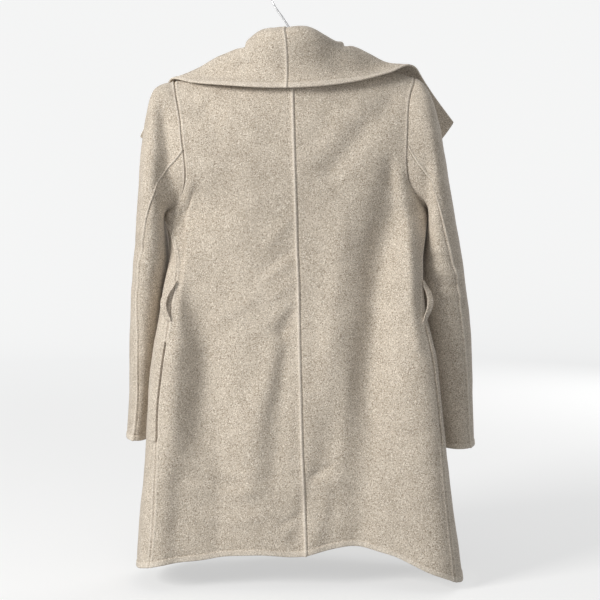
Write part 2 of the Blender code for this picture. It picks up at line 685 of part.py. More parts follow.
def collar(side, table, seam, seam_normal, under):
    """Grid of the collar: stand, roll and fall at each station along the neck seam."""
    run = np.concatenate([[0.0], np.cumsum(np.linalg.norm(np.diff(seam, axis=0), axis=1))])
    neck = sum(1 for c in BACK_COLUMNS if c <= NECK_END) - 1
    arm = neck + len(TIP_ROWS) - 1
    u = np.concatenate([np.interp(run[:neck + 1], [0, run[neck]], [0, NECK_SHARE]),
                        np.interp(run[neck + 1:arm + 1], [run[neck], run[arm]], [NECK_SHARE, LAPEL_SHARE]),
                        np.interp(run[arm + 1:], [run[arm], run[-1]], [LAPEL_SHARE, 1.0])])
    keys = column(table, COLLAR_COLUMNS, "u")
    u[int(np.argmin(np.abs(u - LAPEL_CORNER[side])))] = LAPEL_CORNER[side]
    stand = ("stand_x", "stand_y", "stand_z")
    roll = seam + np.stack([smooth(keys, column(table, COLLAR_COLUMNS, c), u) for c in stand], axis=1)
    outer = ("edge_x", "edge_y", "edge_z")
    edge = np.stack([np.interp(u, keys, column(table, COLLAR_COLUMNS, c)) for c in outer], axis=1)
    gap = smooth(keys, column(table, COLLAR_COLUMNS, "roll_gap"), u)
    rows = []
    for k in range(len(u)):
        a = roll[k] - seam[k]
        length = np.linalg.norm(a)
        a = a / length
        out = (edge[k] - roll[k]) / np.linalg.norm(edge[k] - roll[k])
        lapel = np.clip((u[k] - 0.2) / 0.16, 0.0, 1.0)
        c = (1 - lapel) * out + lapel * seam_normal[k]
        c = c - a * float(a @ c)
        c = c / np.linalg.norm(c)
        g = gap[k]
        rim = seam[k] + a * max(length - g / 2, length * 0.5)
        up = a * min(g / 2, length * 0.5)
        arc = (0, math.pi / 2, math.pi)
        tops = [rim + c * g / 2 * (1 - math.cos(t)) + up * math.sin(t) for t in arc]
        far = tops[-1]
        span = np.linalg.norm(edge[k] - far)
        pull = far - a * span * (0.4 if u[k] < NECK_SHARE else 0.2) + c * 2.0
        fall = [(1 - t) ** 2 * far + 2 * t * (1 - t) * pull + t * t * edge[k] for t in FALL_SHARES]
        rows.append([seam[k], (seam[k] + rim) / 2, *tops, *fall])
    grid = np.array(rows)
    for _ in range(3):
        for i in range(grid.shape[0]):
            for j in range(5, grid.shape[1]):
                p = Vector(grid[i, j])
                near, n, _index, _dist = under.find_nearest(p)
                height = (p - near).dot(n)
                if height < LAY_GAP:
                    p = p + n * (LAY_GAP - height)
                elif side > 0 and u[i] > 0.7 and j > 5:
                    p = p + n * (LAY_GAP - height) * min(1.0, (u[i] - 0.7) / 0.06)
                grid[i, j] = p
    # the flat facets between these points clear the shoulder's ridge too
    for _ in range(8):
        for i in range(grid.shape[0] - 1):
            for j in range(5, grid.shape[1] - 1):
                a, b, c, d = grid[i, j], grid[i + 1, j], grid[i, j + 1], grid[i + 1, j + 1]
                middles = ((a, b, c, d), (a, b), (c, d), (a, c), (b, d), (a, d))
                for p in [sum(points) / len(points) for points in middles]:
                    near, n, _index, _dist = under.find_nearest(Vector(p))
                    height = (Vector(p) - near).dot(n)
                    if height < FACET_GAP:
                        grid[i:i + 2, j:j + 2] += np.array(n) * (FACET_GAP - height)
    return grid


def tree_of(sheets):
    """Search tree over several grids, each given with its outward normals and whether its rings close."""
    verts, quads = [], []
    for grid, normal, closed in sheets:
        nr, nc = grid.shape[:2]
        flat = grid.reshape(-1, 3)
        own = faces_of(nr, nc, closed)
        a, b, c = (flat[own[0][k]] for k in range(3))
        if np.cross(b - a, c - a) @ normal[0, 0] < 0:
            own = [q[::-1] for q in own]
        quads += [tuple(v + len(verts) for v in q) for q in own]
        verts += [tuple(p) for p in flat]
    return BVHTree.FromPolygons(verts, quads)


def tube(path, radius, sides=10):
    """Round wire along a path, with flat ends."""
    path = np.asarray(path, float)
    tangent = np.gradient(path, axis=0)
    tangent /= np.linalg.norm(tangent, axis=1, keepdims=True)
    up = np.array([0.0, 1.0, 0.0])
    verts = []
    for p, t in zip(path, tangent):
        side = np.cross(t, up)
        side /= np.linalg.norm(side)
        for k in range(sides):
            a = 2 * math.pi * k / sides
            verts.append(p + radius * (math.cos(a) * side + math.sin(a) * up))
    faces = faces_of(len(path), sides, True)
    faces.append(tuple(range(sides))[::-1])
    faces.append(tuple((len(path) - 1) * sides + k for k in range(sides)))
    return verts, faces


def hanger_bar():
    """Wooden bar that follows both shoulder seams with a rounded top."""
    half = HANGER_THICK / 2
    stations = []
    for side in (1, -1):
        name = "left" if side > 0 else "right"
        for x in (HANGER_END, 150.0, 110.0, 72.0, 40.0):
            neck, tip = ([abs(column(TOP, TOP_COLUMNS, key)[k]) for key in ("x_" + name, "y", "z_" + name)]
                         for k in (-2, -1))
            t = (tip[0] - x) / (tip[0] - neck[0])
            y = tip[1] + (neck[1] - tip[1]) * min(t, 1.0)
            z = -tip[2] + (tip[2] - neck[2]) * min(t, 1.0) - HANGER_CLEAR
            if t > 1.0:
                z += 0.12 * (neck[0] - x)
            stations.append((side * x, y, z))
    left, right = stations[:5], stations[5:][::-1]
    line = left + [(0.0, 4.0, -122.0)] + right
    verts = []
    ring = [(w * half, -h * half) for w, h in ((-1, 1.1), (-0.7, 0.45), (0, 0), (0.7, 0.45), (1, 1.1))]
    for k, (x, y, z) in enumerate(line):
        deep = HANGER_DEEP * (0.55 if k in (0, len(line) - 1) else 1.0)
        for dy, dz in ring:
            verts.append((x, y + dy, z + dz))
        for dy in (half, 0.6 * half, -0.6 * half, -half):
            verts.append((x, y + dy, z - deep + (0.0 if abs(dy) < half else 2.0)))
    faces = faces_of(len(line), 9, True)
    faces.append(tuple(range(9))[::-1])
    faces.append(tuple((len(line) - 1) * 9 + k for k in range(9)))
    return verts, faces


def hook_path():
    """Wire from the bar up, round the open loop and down to its free end."""
    loop = HOOK_RADIUS + HOOK_WIRE / 2
    centre = -HOOK_RADIUS
    points = [(0.0, HOOK_FOOT), (0.0, -112.0), (2.0, -103.0), (10.0, -91.0), (20.0, -76.0)]
    for a in np.radians(np.arange(-32.0, 206.0, 14.0)):
        points.append((loop * math.cos(a), centre + loop * math.sin(a)))
    return [(x, 4.0 * min(1.0, max(0.0, -z / 90.0)), z) for x, z in points]


def strip(points, outward, across, wide, thick):
    """Closed strip along points: wide along `across`, thick along `outward`."""
    verts = []
    for p, o, w in zip(points, outward, across):
        for du, dv in ((-1, -1), (1, -1), (1, 1), (-1, 1)):
            verts.append(p + w * du * wide / 2 + o * dv * thick / 2)
    faces = faces_of(len(points), 4, True)
    faces.append((3, 2, 1, 0))
    faces.append(tuple((len(points) - 1) * 4 + k for k in range(4)))
    return verts, faces


def seam_at(side, z):
    """Side seam point, outward direction and direction round the ring at height z."""
    g, n = backs[side].grid, backs[side].normal
    rows = slice(len(TIP_ROWS) - 1, None)
    h = g[rows, -1, 2]
    p = np.array([np.interp(-z, -h, g[rows, -1, k]) for k in range(3)])
    o = unit(np.array([np.interp(-z, -h, n[rows, -1, k]) for k in range(3)]) * np.array([1.0, 1.0, 0.0]))
    return p, o, np.array([-o[1], o[0], 0.0]) * side


WOOL = material("double_faced_wool", (0.52, 0.44, 0.36), 0.95)
WOOD = material("hanger_wood", (0.45, 0.30, 0.17), 0.5)
STEEL = material("hook_steel", (0.6, 0.6, 0.6), 0.3, 1.0)

backs = {side: Panel("back_left" if side > 0 else "back_right",
                     back_panel(side, BACK_COLUMNS, TIP_ROWS, HEM_ROWS)) for side in (1, -1)}
fronts = {side: Panel("front_left" if side > 0 else "front_right",
                      front_panel(side, TIP_ROWS, HEM_ROWS)) for side in (1, -1)}
# sewn pieces meet in the very same points
backs[-1].grid[:, 0] = backs[1].grid[:, 0]
for side in (1, -1):
    if backs[side].normal[8, 4] @ np.array([0, 1, 0]) < 0:
        backs[side].normal *= -1
    if fronts[side].normal[8, 5] @ np.array([0, -1, 0]) < 0:
        fronts[side].normal *= -1
    fronts[side].grid[0] = backs[side].grid[0, ::-1][:fronts[side].grid.shape[1]]
    fronts[side].grid[len(TIP_ROWS):, 0] = backs[side].grid[len(TIP_ROWS):, -1]

pieces = list(backs.values()) + list(fronts.values())
for side, table in ((1, SLEEVE_LEFT), (-1, SLEEVE_RIGHT)):
    word = "left" if side > 0 else "right"
    nt = len(TIP_ROWS)
    rings = sleeve(side, table, backs[side].grid[:nt, -1], fronts[side].grid[:nt, 0])
    count = rings.shape[1]
    upper_columns = [k % count for k in range(FRONT_SEAM, count + BACK_SEAM + 1)]
    under_columns = list(range(BACK_SEAM, FRONT_SEAM + 1))
    wrapped = np.concatenate([rings, rings[:, :1]], axis=1)
    n = normals(wrapped)
    n[:, 0] = n[:, 0] + normals(np.roll(rings, 3, axis=1))[:, 3]
    n = n[:, :-1]
    n[:, -1] = normals(np.roll(rings, 3, axis=1))[:, 2]
    n /= np.linalg.norm(n, axis=2, keepdims=True)
    if n[8, 3] @ (rings[8, 3] - rings[8].mean(axis=0)) < 0:
        n = -n
    upper = Panel("sleeve_" + word + "_upper", rings[:, upper_columns])
    under = Panel("sleeve_" + word + "_under", rings[:, under_columns])
    upper.normal = n[:, upper_columns]
    under.normal = n[:, under_columns]
    pieces += [upper, under]
    seam = collar_seam(side, backs[side].grid, fronts[side].grid)
    seam_n = []
    for p in seam:
        best = None
        for panel in (backs[side], fronts[side]):
            d = np.linalg.norm(panel.grid - p, axis=2)
            k = np.unravel_index(np.argmin(d), d.shape)
            if best is None or d[k] < best[0] - 1e-6:
                best = (d[k], panel.normal[k])
        seam_n.append(best[1])
    below = tree_of([(backs[1].grid, backs[1].normal, False), (backs[-1].grid, backs[-1].normal, False),
                     (fronts[side].grid, fronts[side].normal, False), (rings, n, True)])
    grid = collar(side, COLLAR_LEFT if side > 0 else COLLAR_RIGHT, seam, np.array(seam_n), below)
    piece = Panel("collar_" + word, grid)
    if piece.normal[2, 1] @ np.array([0, 1.0, 0]) < 0:
        piece.normal *= -1
    pieces.append(piece)

share(pieces)
for piece in pieces:
    make(piece.name, *piece.wall(), WOOL)

for side in (1, -1):
    word = "left" if side > 0 else "right"
    high, low = LOOP_SIDES[side]
    line, outs, sides = [], [], []
    for share_down, out in LOOP:
        z = high + (low - high) * share_down
        p, o, w = seam_at(side, z)
        # the strip lies flat on the seam at its ends and bows sideways between them
        o = unit(o + np.array([side * LOOP_TURN * math.sin(math.pi * share_down), 0.0, 0.0]))
        line.append(p + o * out)
        outs.append(o)
        sides.append(np.array([-o[1], o[0], 0.0]) * side)
    make("belt_loop_" + word, *strip(line, outs, sides, LOOP_WIDE, LOOP_THICK), WOOL)
    high, low = POCKET[side]
    line, outs, sides = [], [], []
    rows = backs[side].grid[len(TIP_ROWS):, -1, 2]
    for z in [high, *(z for z in rows if low + 8 < z < high - 8), low]:
        p, o, w = seam_at(side, z)
        line.append(p + o * (CLOTH / 2 + LIP_THICK / 2 + SEAM_GAP) - w * (LIP_WIDE / 2 + 0.6))
        outs.append(o)
        sides.append(w)
    make("pocket_lip_" + word, *strip(line, outs, sides, LIP_WIDE, LIP_THICK), WOOL)

make("hanger_body", *hanger_bar(), WOOD)
make("hanger_hook", *tube(hook_path(), HOOK_WIRE / 2), STEEL)
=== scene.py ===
"""Looks of the wrap coat on its hanger: wool shells with seams, turned edges and creases, light and camera.

Lengths are millimetres in the coat's own frame until a mesh is made: +Z up, +Y the coat's back, +X the
wearer's left, and the origin at the inner crown of the hook.  Every cloth piece starts from the middle of
its CAD wall.
"""
import math

import bmesh
import bpy
import numpy as np
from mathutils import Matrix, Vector
from mathutils.bvhtree import BVHTree


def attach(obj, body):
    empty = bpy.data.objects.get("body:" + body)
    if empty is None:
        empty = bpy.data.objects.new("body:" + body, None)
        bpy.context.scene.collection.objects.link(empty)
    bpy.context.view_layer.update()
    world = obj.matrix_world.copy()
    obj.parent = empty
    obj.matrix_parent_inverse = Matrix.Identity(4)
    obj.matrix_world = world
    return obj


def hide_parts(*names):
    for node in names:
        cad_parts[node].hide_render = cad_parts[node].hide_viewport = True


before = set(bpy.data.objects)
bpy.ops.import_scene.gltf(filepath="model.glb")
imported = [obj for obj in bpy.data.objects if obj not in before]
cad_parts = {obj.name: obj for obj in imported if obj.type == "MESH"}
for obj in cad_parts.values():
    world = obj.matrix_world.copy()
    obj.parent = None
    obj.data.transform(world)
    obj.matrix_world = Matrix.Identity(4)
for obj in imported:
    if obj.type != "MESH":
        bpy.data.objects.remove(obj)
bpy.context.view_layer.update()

MM = 0.001
CLOTH = 2.2                 # thickness of the wool, as in the CAD walls
SEAM_CLOSE = 0.13           # how far a sewn edge moves into the 0.3 mm gap of the CAD
RUNG_SLACK = 0.004          # how exactly a rim edge of a CAD wall has that length
WELD = 2e-6                 # metres
FINE = 2.5                  # step of the splined surfaces
STEP = 3.4                  # step of the finished meshes
UNDERARM = -390.0           # height where armhole turns into side seam
BREAK = -505.0              # height where the lapels end
NECK_END = 0.34             # share of a half back's width taken by the neckline
BACK_COLUMNS = (0.0, 0.1, 0.19, 0.27, NECK_END, 0.43, 0.53, 0.63, 0.73, 0.83, 0.91, 0.965, 1.0)

# Distances from an edge at which the finished mesh has a line of points.
SEAM_LINES = np.array([0.0, 0.5, 1.0, 1.6, 2.3, 3.1, 4.0, 5.2, 7.0, 9.5])
TURNED_LINES = np.array([0.0, 1.0, 2.2, 3.8, 5.4, 6.6, 7.6, 8.6, 9.8, 11.5, 14.0])
MOST_FIXED = 0.8            # share of a short line that those distances may take

# Walls: a point near the grid's first corner, one near the other end of its first row, one inside the
# hollow, and the kind of edge at the first and last column and the first and last row.
WALL_COLUMNS = ("node", "first", "along", "inside", "u0", "u1", "v0", "v1")
WALLS = (
    ("back_left", (0, 52, -142), (196, 0, -180), (0, 0, -500),
     "centre", "side", "flat", "turned"),
    ("back_right", (0, 52, -142), (-195, 0, -174), (0, 0, -500),
     "flat", "side", "flat", "turned"),
    ("front_left", (196, 0, -180), (67, 4, -128), (0, 0, -500),
     "side", "turned", "flat", "turned"),
    ("front_right", (-195, 0, -174), (-67, 4, -128), (0, 0, -500),
     "side", "turned", "flat", "turned"),
    ("sleeve_left_upper", (167, -55, -269), (179, 62, -297), (248, -5, -400),
     "flat", "ridge", "ridge", "turned"),
    ("sleeve_left_under", (179, 62, -297), (167, -55, -269), (248, -5, -400),
     "flat", "ridge", "ridge", "turned"),
    ("sleeve_right_upper", (-167, -55, -264), (-179, 62, -291), (-252, -5, -400),
     "flat", "ridge", "flat", "turned"),
    ("sleeve_right_under", (-179, 62, -291), (-167, -55, -264), (-252, -5, -400),
     "flat", "ridge", "flat", "turned"),
    ("collar_left", (0, 52, -142), (10, 74, -197), (0, -20, -420),
     "flat", "turned", "ridge", "turned"),
    ("collar_right", (0, 52, -142), (-10, 74, -197), (0, -20, -420),
     "flat", "turned", "flat", "turned"),
)


def smoothstep(low, high, x):
    """From 0 at low to 1 at high."""
    t = np.clip((np.asarray(x, float) - low) / (high - low), 0.0, 1.0)
    return t * t * (3 - 2 * t)


def bell(x, width):
    """From 1 at 0 down to 1 / e at the half width."""
    return np.exp(-(np.asarray(x, float) / width) ** 2)


# ---------------------------------------------------------------- reading the CAD walls

def boundary_paths(sheet, start):
    """The two paths along the sheet's open edge, from a corner to the next corner each way."""
    open_edges = {}
    for face in sheet:
        for edge in face.edges:
            if sum(f in sheet for f in edge.link_faces) == 1:
                a, b = edge.verts
                open_edges.setdefault(a, []).append(b)
                open_edges.setdefault(b, []).append(a)
    corners = {v for v in open_edges if sum(f in sheet for f in v.link_faces) <= 2}
    paths = []
    for step in open_edges[start]:
        path = [start, step]
        while path[-1] not in corners:
            path.append(next(v for v in open_edges[path[-1]] if v is not path[-2]))
        paths.append(path)
    return paths


def walk(sheet, start, along):
    """The sheet's points as rows, starting at a corner, with the first row towards `along`."""
    paths = boundary_paths(sheet, start)
    paths.sort(key=lambda path: (path[-1].co / MM - Vector(along)).length)
    rows, side, used = [paths[0]], paths[1], set()
    for down in side[1:]:
        top, low, j = rows[-1], [down], 0
        while j < len(top) - 1 or len(low) < len(top):
            p, q = top[j], low[-1]
            edge = next(e for e in p.link_edges if q in e.verts)
            face = next(f for f in edge.link_faces if f in sheet and f not in used)
            used.add(face)
            third = next(v for v in face.verts if v is not p and v is not q)
            if j + 1 < len(top) and third is top[j + 1]:
                j += 1
            else:
                low.append(third)
        rows.append(low)
    return np.array([[v.co[:] for v in row] for row in rows]) / MM


def read_wall(node, first, along, inside):
    """Middle points of a node's cloth wall as a grid, and its unit normals away from the hollow."""
    work = bmesh.new()
    work.from_mesh(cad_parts[node].data)
    bmesh.ops.remove_doubles(work, verts=work.verts[:], dist=WELD)
    bmesh.ops.triangulate(work, faces=work.faces[:])
    rungs = [e for e in work.edges if abs(e.calc_length() / MM - CLOTH) < RUNG_SLACK]
    rim = {f for e in rungs for f in e.link_faces}
    other = {}
    for edge in rungs:
        a, b = edge.verts
        other[a], other[b] = b, a
    sheet = {f for f in work.faces if f not in rim}
    # the corner nearest `first`, on either face of the wall
    ends = [v for v in other if sum(f in sheet for f in v.link_faces) <= 2]
    start = min(ends, key=lambda v: (v.co / MM - Vector(first)).length)
    one, two = walk(sheet, start, along), walk(sheet, other[start], along)
    work.free()
    middle, across = (one + two) / 2, one - two
    normal = across / np.linalg.norm(across, axis=2, keepdims=True)
    row, column = middle.shape[0] // 2, middle.shape[1] // 2
    if node.startswith("collar"):
        column = middle.shape[1] - 2
    if (middle[row, column] - np.array(inside)) @ normal[row, column] < 0:
        normal = -normal
    return middle, normal


# ---------------------------------------------------------------- splines over grids

def spline(points, axis, step):
    """Smooth curves through a grid's lines along one axis, knotted at each line's own distances."""
    p = np.moveaxis(points, axis, 0)
    h = np.maximum(np.linalg.norm(np.diff(p[..., :3], axis=0), axis=-1), 1e-6)[..., None]
    d = np.diff(p, axis=0) / h
    slope = np.empty_like(p)
    slope[1:-1] = (h[:-1] * d[1:] + h[1:] * d[:-1]) / (h[:-1] + h[1:])
    slope[0] = d[0] + (d[0] - d[1]) * h[0] / (h[0] + h[1])
    slope[-1] = d[-1] + (d[-1] - d[-2]) * h[-1] / (h[-1] + h[-2])
    out = [p[:1]]
    for k, long in enumerate(h.mean(axis=(1, 2))):
        parts = max(1, int(round(long / step)))
        t = (np.arange(1, parts + 1) / parts)[:, None, None]
        t2, t3 = t * t, t * t * t
        out.append((2 * t3 - 3 * t2 + 1) * p[k] + (t3 - 2 * t2 + t) * h[k] * slope[k]
                   + (3 * t2 - 2 * t3) * p[k + 1] + (t3 - t2) * h[k] * slope[k + 1])
    return np.moveaxis(np.concatenate(out), 0, axis)


def lines(points, axis, start, end):
    """Resamples along one axis: fixed distances from both ends, even steps between.

    Adds two channels, the distance from each end.
    """
    p = np.moveaxis(points, axis, 1)
    run = np.cumsum(np.linalg.norm(np.diff(p[..., :3], axis=1), axis=2), axis=1)
    run = np.concatenate([np.zeros((len(p), 1)), run], axis=1)
    length = run[:, -1]
    count = max(2, int(round((np.median(length) - start[-1] - end[-1]) / STEP)))
    out = []
    for row, at, total in zip(p, run, length):
        shrink = min(1.0, MOST_FIXED * total / (start[-1] + end[-1]))
        a, b = start * shrink, total - end[::-1] * shrink
        place = np.concatenate([a, np.linspace(a[-1], b[0], count + 1)[1:-1], b])
        new = [np.interp(place, at, row[:, k]) for k in range(row.shape[1])]
        out.append(np.stack(new + [place, total - place], axis=1))
    return np.moveaxis(np.array(out), 1, axis)


def unit(v):
    return v / np.maximum(np.linalg.norm(v, axis=-1, keepdims=True), 1e-9)


def normals(grid):
    return unit(np.cross(np.gradient(grid, axis=0), np.gradient(grid, axis=1)))


# ---------------------------------------------------------------- folds and creases

# Largest folds of the back, as in the CAD: line, depth (+ outward) and half width.
BACK_FOLDS = (
    (((-152, -218), (-122, -250), (-94, -285), (-58, -328)), -5, 19),
    (((-160, -345), (-141, -460), (-123, -600), (-106, -960)), -12, 29),
    (((-170, -340), (-183, -430), (-190, -500), (-200, -600)), 8, 15),
    (((134, -390), (131, -560), (130, -760), (134, -960)), -9, 33),
    (((176, -345), (185, -430), (190, -500), (198, -600)), 7, 14),
    (((30, -610), (46, -690), (60, -750), (72, -830)), 4, 18),
    (((14, -600), (20, -690), (27, -750), (32, -810)), -3, 14),
)

# Smaller creases, by the side of the coat that they lie on: line, depth (+ outward) and half width.
BACK_CREASES = (
    (((-4, -446), (28, -470), (58, -496)), -1.6, 7),
    (((-6, -470), (30, -488), (60, -508)), 1.2, 9),
    (((-2, -503), (34, -516), (66, -534)), -1.4, 8),
    (((-4, -535), (30, -560), (70, -590)), 1.6, 14),
    (((-8, -566), (10, -578), (26, -596)), -2.6, 7),
    (((-18, -817), (-44, -802), (-70, -786)), -2.0, 6),
    (((-18, -830), (-50, -822), (-80, -818)), 1.6, 9),
    (((-30, -846), (-36, -862), (-38, -884)), -1.8, 9),
    (((26, -890), (6, -880), (-14, -866)), -1.8, 6),
    (((44, -884), (28, -898), (6, -912)), 1.4, 9),
    (((82, -786), (50, -806), (-8, -836)), -1.2, 11),
    (((132, -740), (136, -880), (138, -1080)), 6.0, 26),
    (((176, -760), (186, -900), (190, -1080)), -8.0, 24),
    (((-58, -700), (-60, -840), (-60, -1080)), -6.0, 32),
    (((-124, -740), (-124, -880), (-122, -1080)), 6.0, 28),
    (((-80, -380), (-66, -520), (-46, -740)), 5.0, 22),
    (((-146, -390), (-132, -480), (-108, -740)), -7.0, 23),
    (((164, -320), (174, -420), (170, -500), (158, -600)), -11.0, 22),
    (((184, -352), (189, -420), (192, -470), (195, -540)), -11.0, 17),
    (((124, -380), (128, -480), (120, -600)), 4.0, 20),
    (((150, -540), (148, -640), (158, -790)), -6.0, 18),
    (((190, -590), (193, -680), (196, -790)), 4.0, 14),
    (((40, -640), (70, -720), (100, -800)), 2.5, 20),
    (((12, -600), (34, -700), (46, -760)), -2.0, 12),
    (((56, -462), (28, -428), (-2, -398)), 1.8, 10),
    (((46, -536), (22, -516), (-6, -500)), 1.6, 10),
    (((30, -590), (14, -568), (-2, -544)), -3.6, 9),
    (((-8, -498), (60, -528), (128, -566)), 2.0, 12),
    (((-42, -770), (-20, -850), (4, -944)), -3.4, 14),
    (((-70, -760), (-50, -850), (-24, -944)), 2.4, 13),
    (((200, -780), (120, -812), (40, -800)), 1.8, 11),
    (((190, -822), (110, -842), (30, -828)), 1.6, 10),
    (((176, -872), (100, -884), (24, -868)), 1.6, 11),
    (((152, -222), (130, -234), (108, -246)), -4.0, 14),
    (((178, -206), (158, -226), (146, -254)), -2.6, 15),
    (((150, -236), (128, -262), (112, -300)), -1.6, 13),
    (((-60, -216), (-52, -256), (-20, -300)), -1.2, 14),
    (((-90, -212), (-110, -232), (-140, -246)), 1.8, 14),
    (((-148, -300), (-152, -330), (-150, -358)), -2.4, 11),
    (((60, -250), (66, -330), (60, -410)), 1.4, 26),
    (((-20, -640), (-28, -760), (-30, -900)), 1.6, 18),
    (((-82, -600), (-78, -720), (-72, -900)), 2.2, 13),
    (((-176, -408), (-150, -452), (-140, -500)), -1.6, 9),
    (((168, -400), (158, -450), (166, -500)), 1.4, 10),
)
FRONT_CREASES = (
    (((160, -380), (148, -560), (166, -760), (196, -970)), -6.0, 20),
    (((110, -540), (112, -700), (128, -840), (140, -970)), 4.0, 24),
    (((70, -560), (74, -700), (84, -840), (90, -970)), -3.4, 18),
    (((-164, -380), (-146, -560), (-168, -760), (-206, -970)), -6.5, 20),
    (((-104, -540), (-112, -700), (-134, -840), (-150, -970)), 4.5, 26),
    (((-62, -560), (-66, -700), (-84, -840), (-92, -970)), -4.0, 18),
    (((-10, -580), (-16, -740), (-30, -970)), 2.2, 24),
    (((40, -520), (10, -560), (-60, -590)), -2.2, 9),
    (((30, -545), (-10, -580), (-80, -604)), 1.8, 12),
    (((-196, -470), (-150, -500), (-100, -520)), -2.2, 10),
    (((196, -476), (150, -504), (104, -520)), -2.0, 10),
    (((180, -560), (140, -580), (100, -584)), 1.6, 12),
    (((-206, -900), (-170, -880), (-140, -884)), 1.5, 12),
)
SLEEVE_BACK_CREASES = (
    (((218, -198), (208, -250), (202, -300), (198, -345), (192, -390)), -11.0, 15),
    (((268, -440), (240, -452), (216, -470)), -2.2, 8),
    (((270, -470), (244, -476), (222, -492)), 1.8, 10),
    (((272, -500), (248, -512), (226, -516)), -1.6, 8),
    (((206, -300), (214, -350), (214, -400)), -2.4, 10),
    (((236, -280), (240, -360), (248, -440)), 2.0, 14),
    (((262, -560), (252, -640), (262, -730)), -1.8, 10),
    (((-204, -462), (-236, -468), (-268, -480)), -2.4, 8),
    (((-214, -484), (-240, -488), (-270, -500)), 2.2, 9),
    (((-208, -504), (-236, -508), (-268, -516)), -2.6, 8),
    (((-220, -536), (-246, -536), (-276, -548)), -2.0, 8),
    (((-228, -520), (-250, -522), (-280, -532)), 1.6, 8),
    (((-208, -300), (-214, -350), (-220, -402)), -2.6, 9),
    (((-242, -600), (-258, -660), (-268, -750)), -2.4, 12),
    (((-262, -590), (-276, -660), (-284, -760)), 1.6, 12),
)
SLEEVE_FRONT_CREASES = (
    (((268, -430), (246, -440), (220, -452)), -3.0, 8),
    (((270, -460), (246, -466), (222, -474)), 2.4, 9),
    (((274, -490), (250, -500), (226, -500)), -2.8, 8),
    (((276, -540), (252, -546), (232, -540)), -2.0, 8),
    (((210, -300), (222, -350), (226, -400)), -2.6, 12),
    (((-270, -426), (-246, -440), (-220, -450)), -3.0, 8),
    (((-276, -458), (-248, -468), (-222, -474)), 2.4, 9),
    (((-284, -492), (-250, -504), (-226, -500)), -2.8, 8),
    (((-290, -544), (-258, -552), (-232, -544)), -2.2, 8),
    (((-210, -296), (-224, -350), (-228, -400)), -2.6, 12),
)


CREASE_FADE = (-0.05, 0.25)     # share of a crease's line over which it comes in, at both its ends
CREASE_REACH = 3.0              # half widths past which a crease does nothing
FACING = (-0.15, 0.35)          # y of the normals over which the creases of a side come in

# Slow swelling of the cloth, by size in millimetres and seed, and the height of the small one to the large.
LARGE_SWELL = (62.0, 1.0)
SMALL_SWELL = (24.0, 2.0)
SMALL_HEIGHT = 0.45


def line_distance(x, z, line):
    """Distance from points to a broken line in the X-Z plane, and the share of the way along it."""
    best = np.full(np.shape(x), np.inf)
    share = np.zeros(np.shape(x))
    for k, ((ax, az), (bx, bz)) in enumerate(zip(line[:-1], line[1:])):
        dx, dz = bx - ax, bz - az
        t = np.clip(((x - ax) * dx + (z - az) * dz) / (dx * dx + dz * dz), 0.0, 1.0)
        d = np.hypot(x - ax - t * dx, z - az - t * dz)
        near = d < best
        share = np.where(near, (k + t) / (len(line) - 1), share)
        best = np.minimum(best, d)
    return best, share


def back_folds(x, z):
    """Height of the back's largest folds."""
    return sum(depth * bell(line_distance(x, z, line)[0], width) for line, depth, width in BACK_FOLDS)


def creases(p, table):
    """Soft troughs and ridges that fade out at both ends of their lines."""
    out = np.zeros(p.shape[:2])
    for line, depth, width in table:
        d, share = line_distance(p[..., 0], p[..., 2], line)
        fade = smoothstep(*CREASE_FADE, share) * smoothstep(*CREASE_FADE, 1 - share)
        out += depth * bell(d, width) * np.where(d < CREASE_REACH * width, fade, 0.0)
    return out


def swell(p, size, seed):
    """Slow uneven swelling of the cloth, between about -1 and 1."""
    x, y, z = p[..., 0] / size, p[..., 1] / size, p[..., 2] / size
    a = np.sin(2.1 * x + 1.3 * z + 1.7 * seed) * np.cos(1.1 * z - 0.7 * y + seed)
    b = np.sin(0.9 * z - 1.9 * x + 2.3 * y + 0.6 * seed) * np.cos(2.7 * z + 0.8 * x - 1.9 * seed)
    return 0.6 * a + 0.4 * b


def drape(p, n, back_table, front_table, amount):
    """Height of the creases and swelling over the plain surface."""
    back, front = smoothstep(*FACING, n[..., 1]), smoothstep(*FACING, -n[..., 1])
    height = back * creases(p, back_table) + front * creases(p, front_table)
    return height + amount * (swell(p, *LARGE_SWELL) + SMALL_HEIGHT * swell(p, *SMALL_SWELL))


# ---------------------------------------------------------------- shells

# Relief beside each kind of edge: height, distance from the edge and half width of its ridges and grooves.
EDGE_RELIEF = {
    "centre": ((1.9, 3.6, 2.4), (-0.8, 0.0, 1.3)),
    "ridge": ((1.3, 3.2, 2.2), (-0.5, 0.0, 1.2)),
    "side": ((1.0, 3.2, 2.2), (-0.5, 0.0, 1.2)),
    "flat": ((-0.45, 0.0, 1.3),),
    "turned": ((-0.5, 8.9, 1.2),),
}
TURNED_HEIGHT = 0.9
TURNED_STEP = (6.6, 8.4)        # distances from a turned edge over which its second layer ends

WHOLE = slice(None)
EDGES = ((WHOLE, 0), (WHOLE, -1), (0, WHOLE), (-1, WHOLE))
INSIDE_EDGES = ((WHOLE, 1), (WHOLE, -2), (1, WHOLE), (-2, WHOLE))
RIM_TURNS = np.radians((36, 72, 108, 144))      # round a cloth's edge, from its outer to its inner face
SEAM_BLEND = 3.0                # half width of the strip beside a seam that takes the shared normals


def profile(kind, d):
    """Relief of an edge at a distance from it: welted, plain or turned."""
    height = sum(rise * bell(d - away, wide) for rise, away, wide in EDGE_RELIEF[kind])
    if kind == "turned":
        height = height + TURNED_HEIGHT * (1 - smoothstep(*TURNED_STEP, d))
    return height


def edge_lines(kind):
    return TURNED_LINES if kind == "turned" else SEAM_LINES


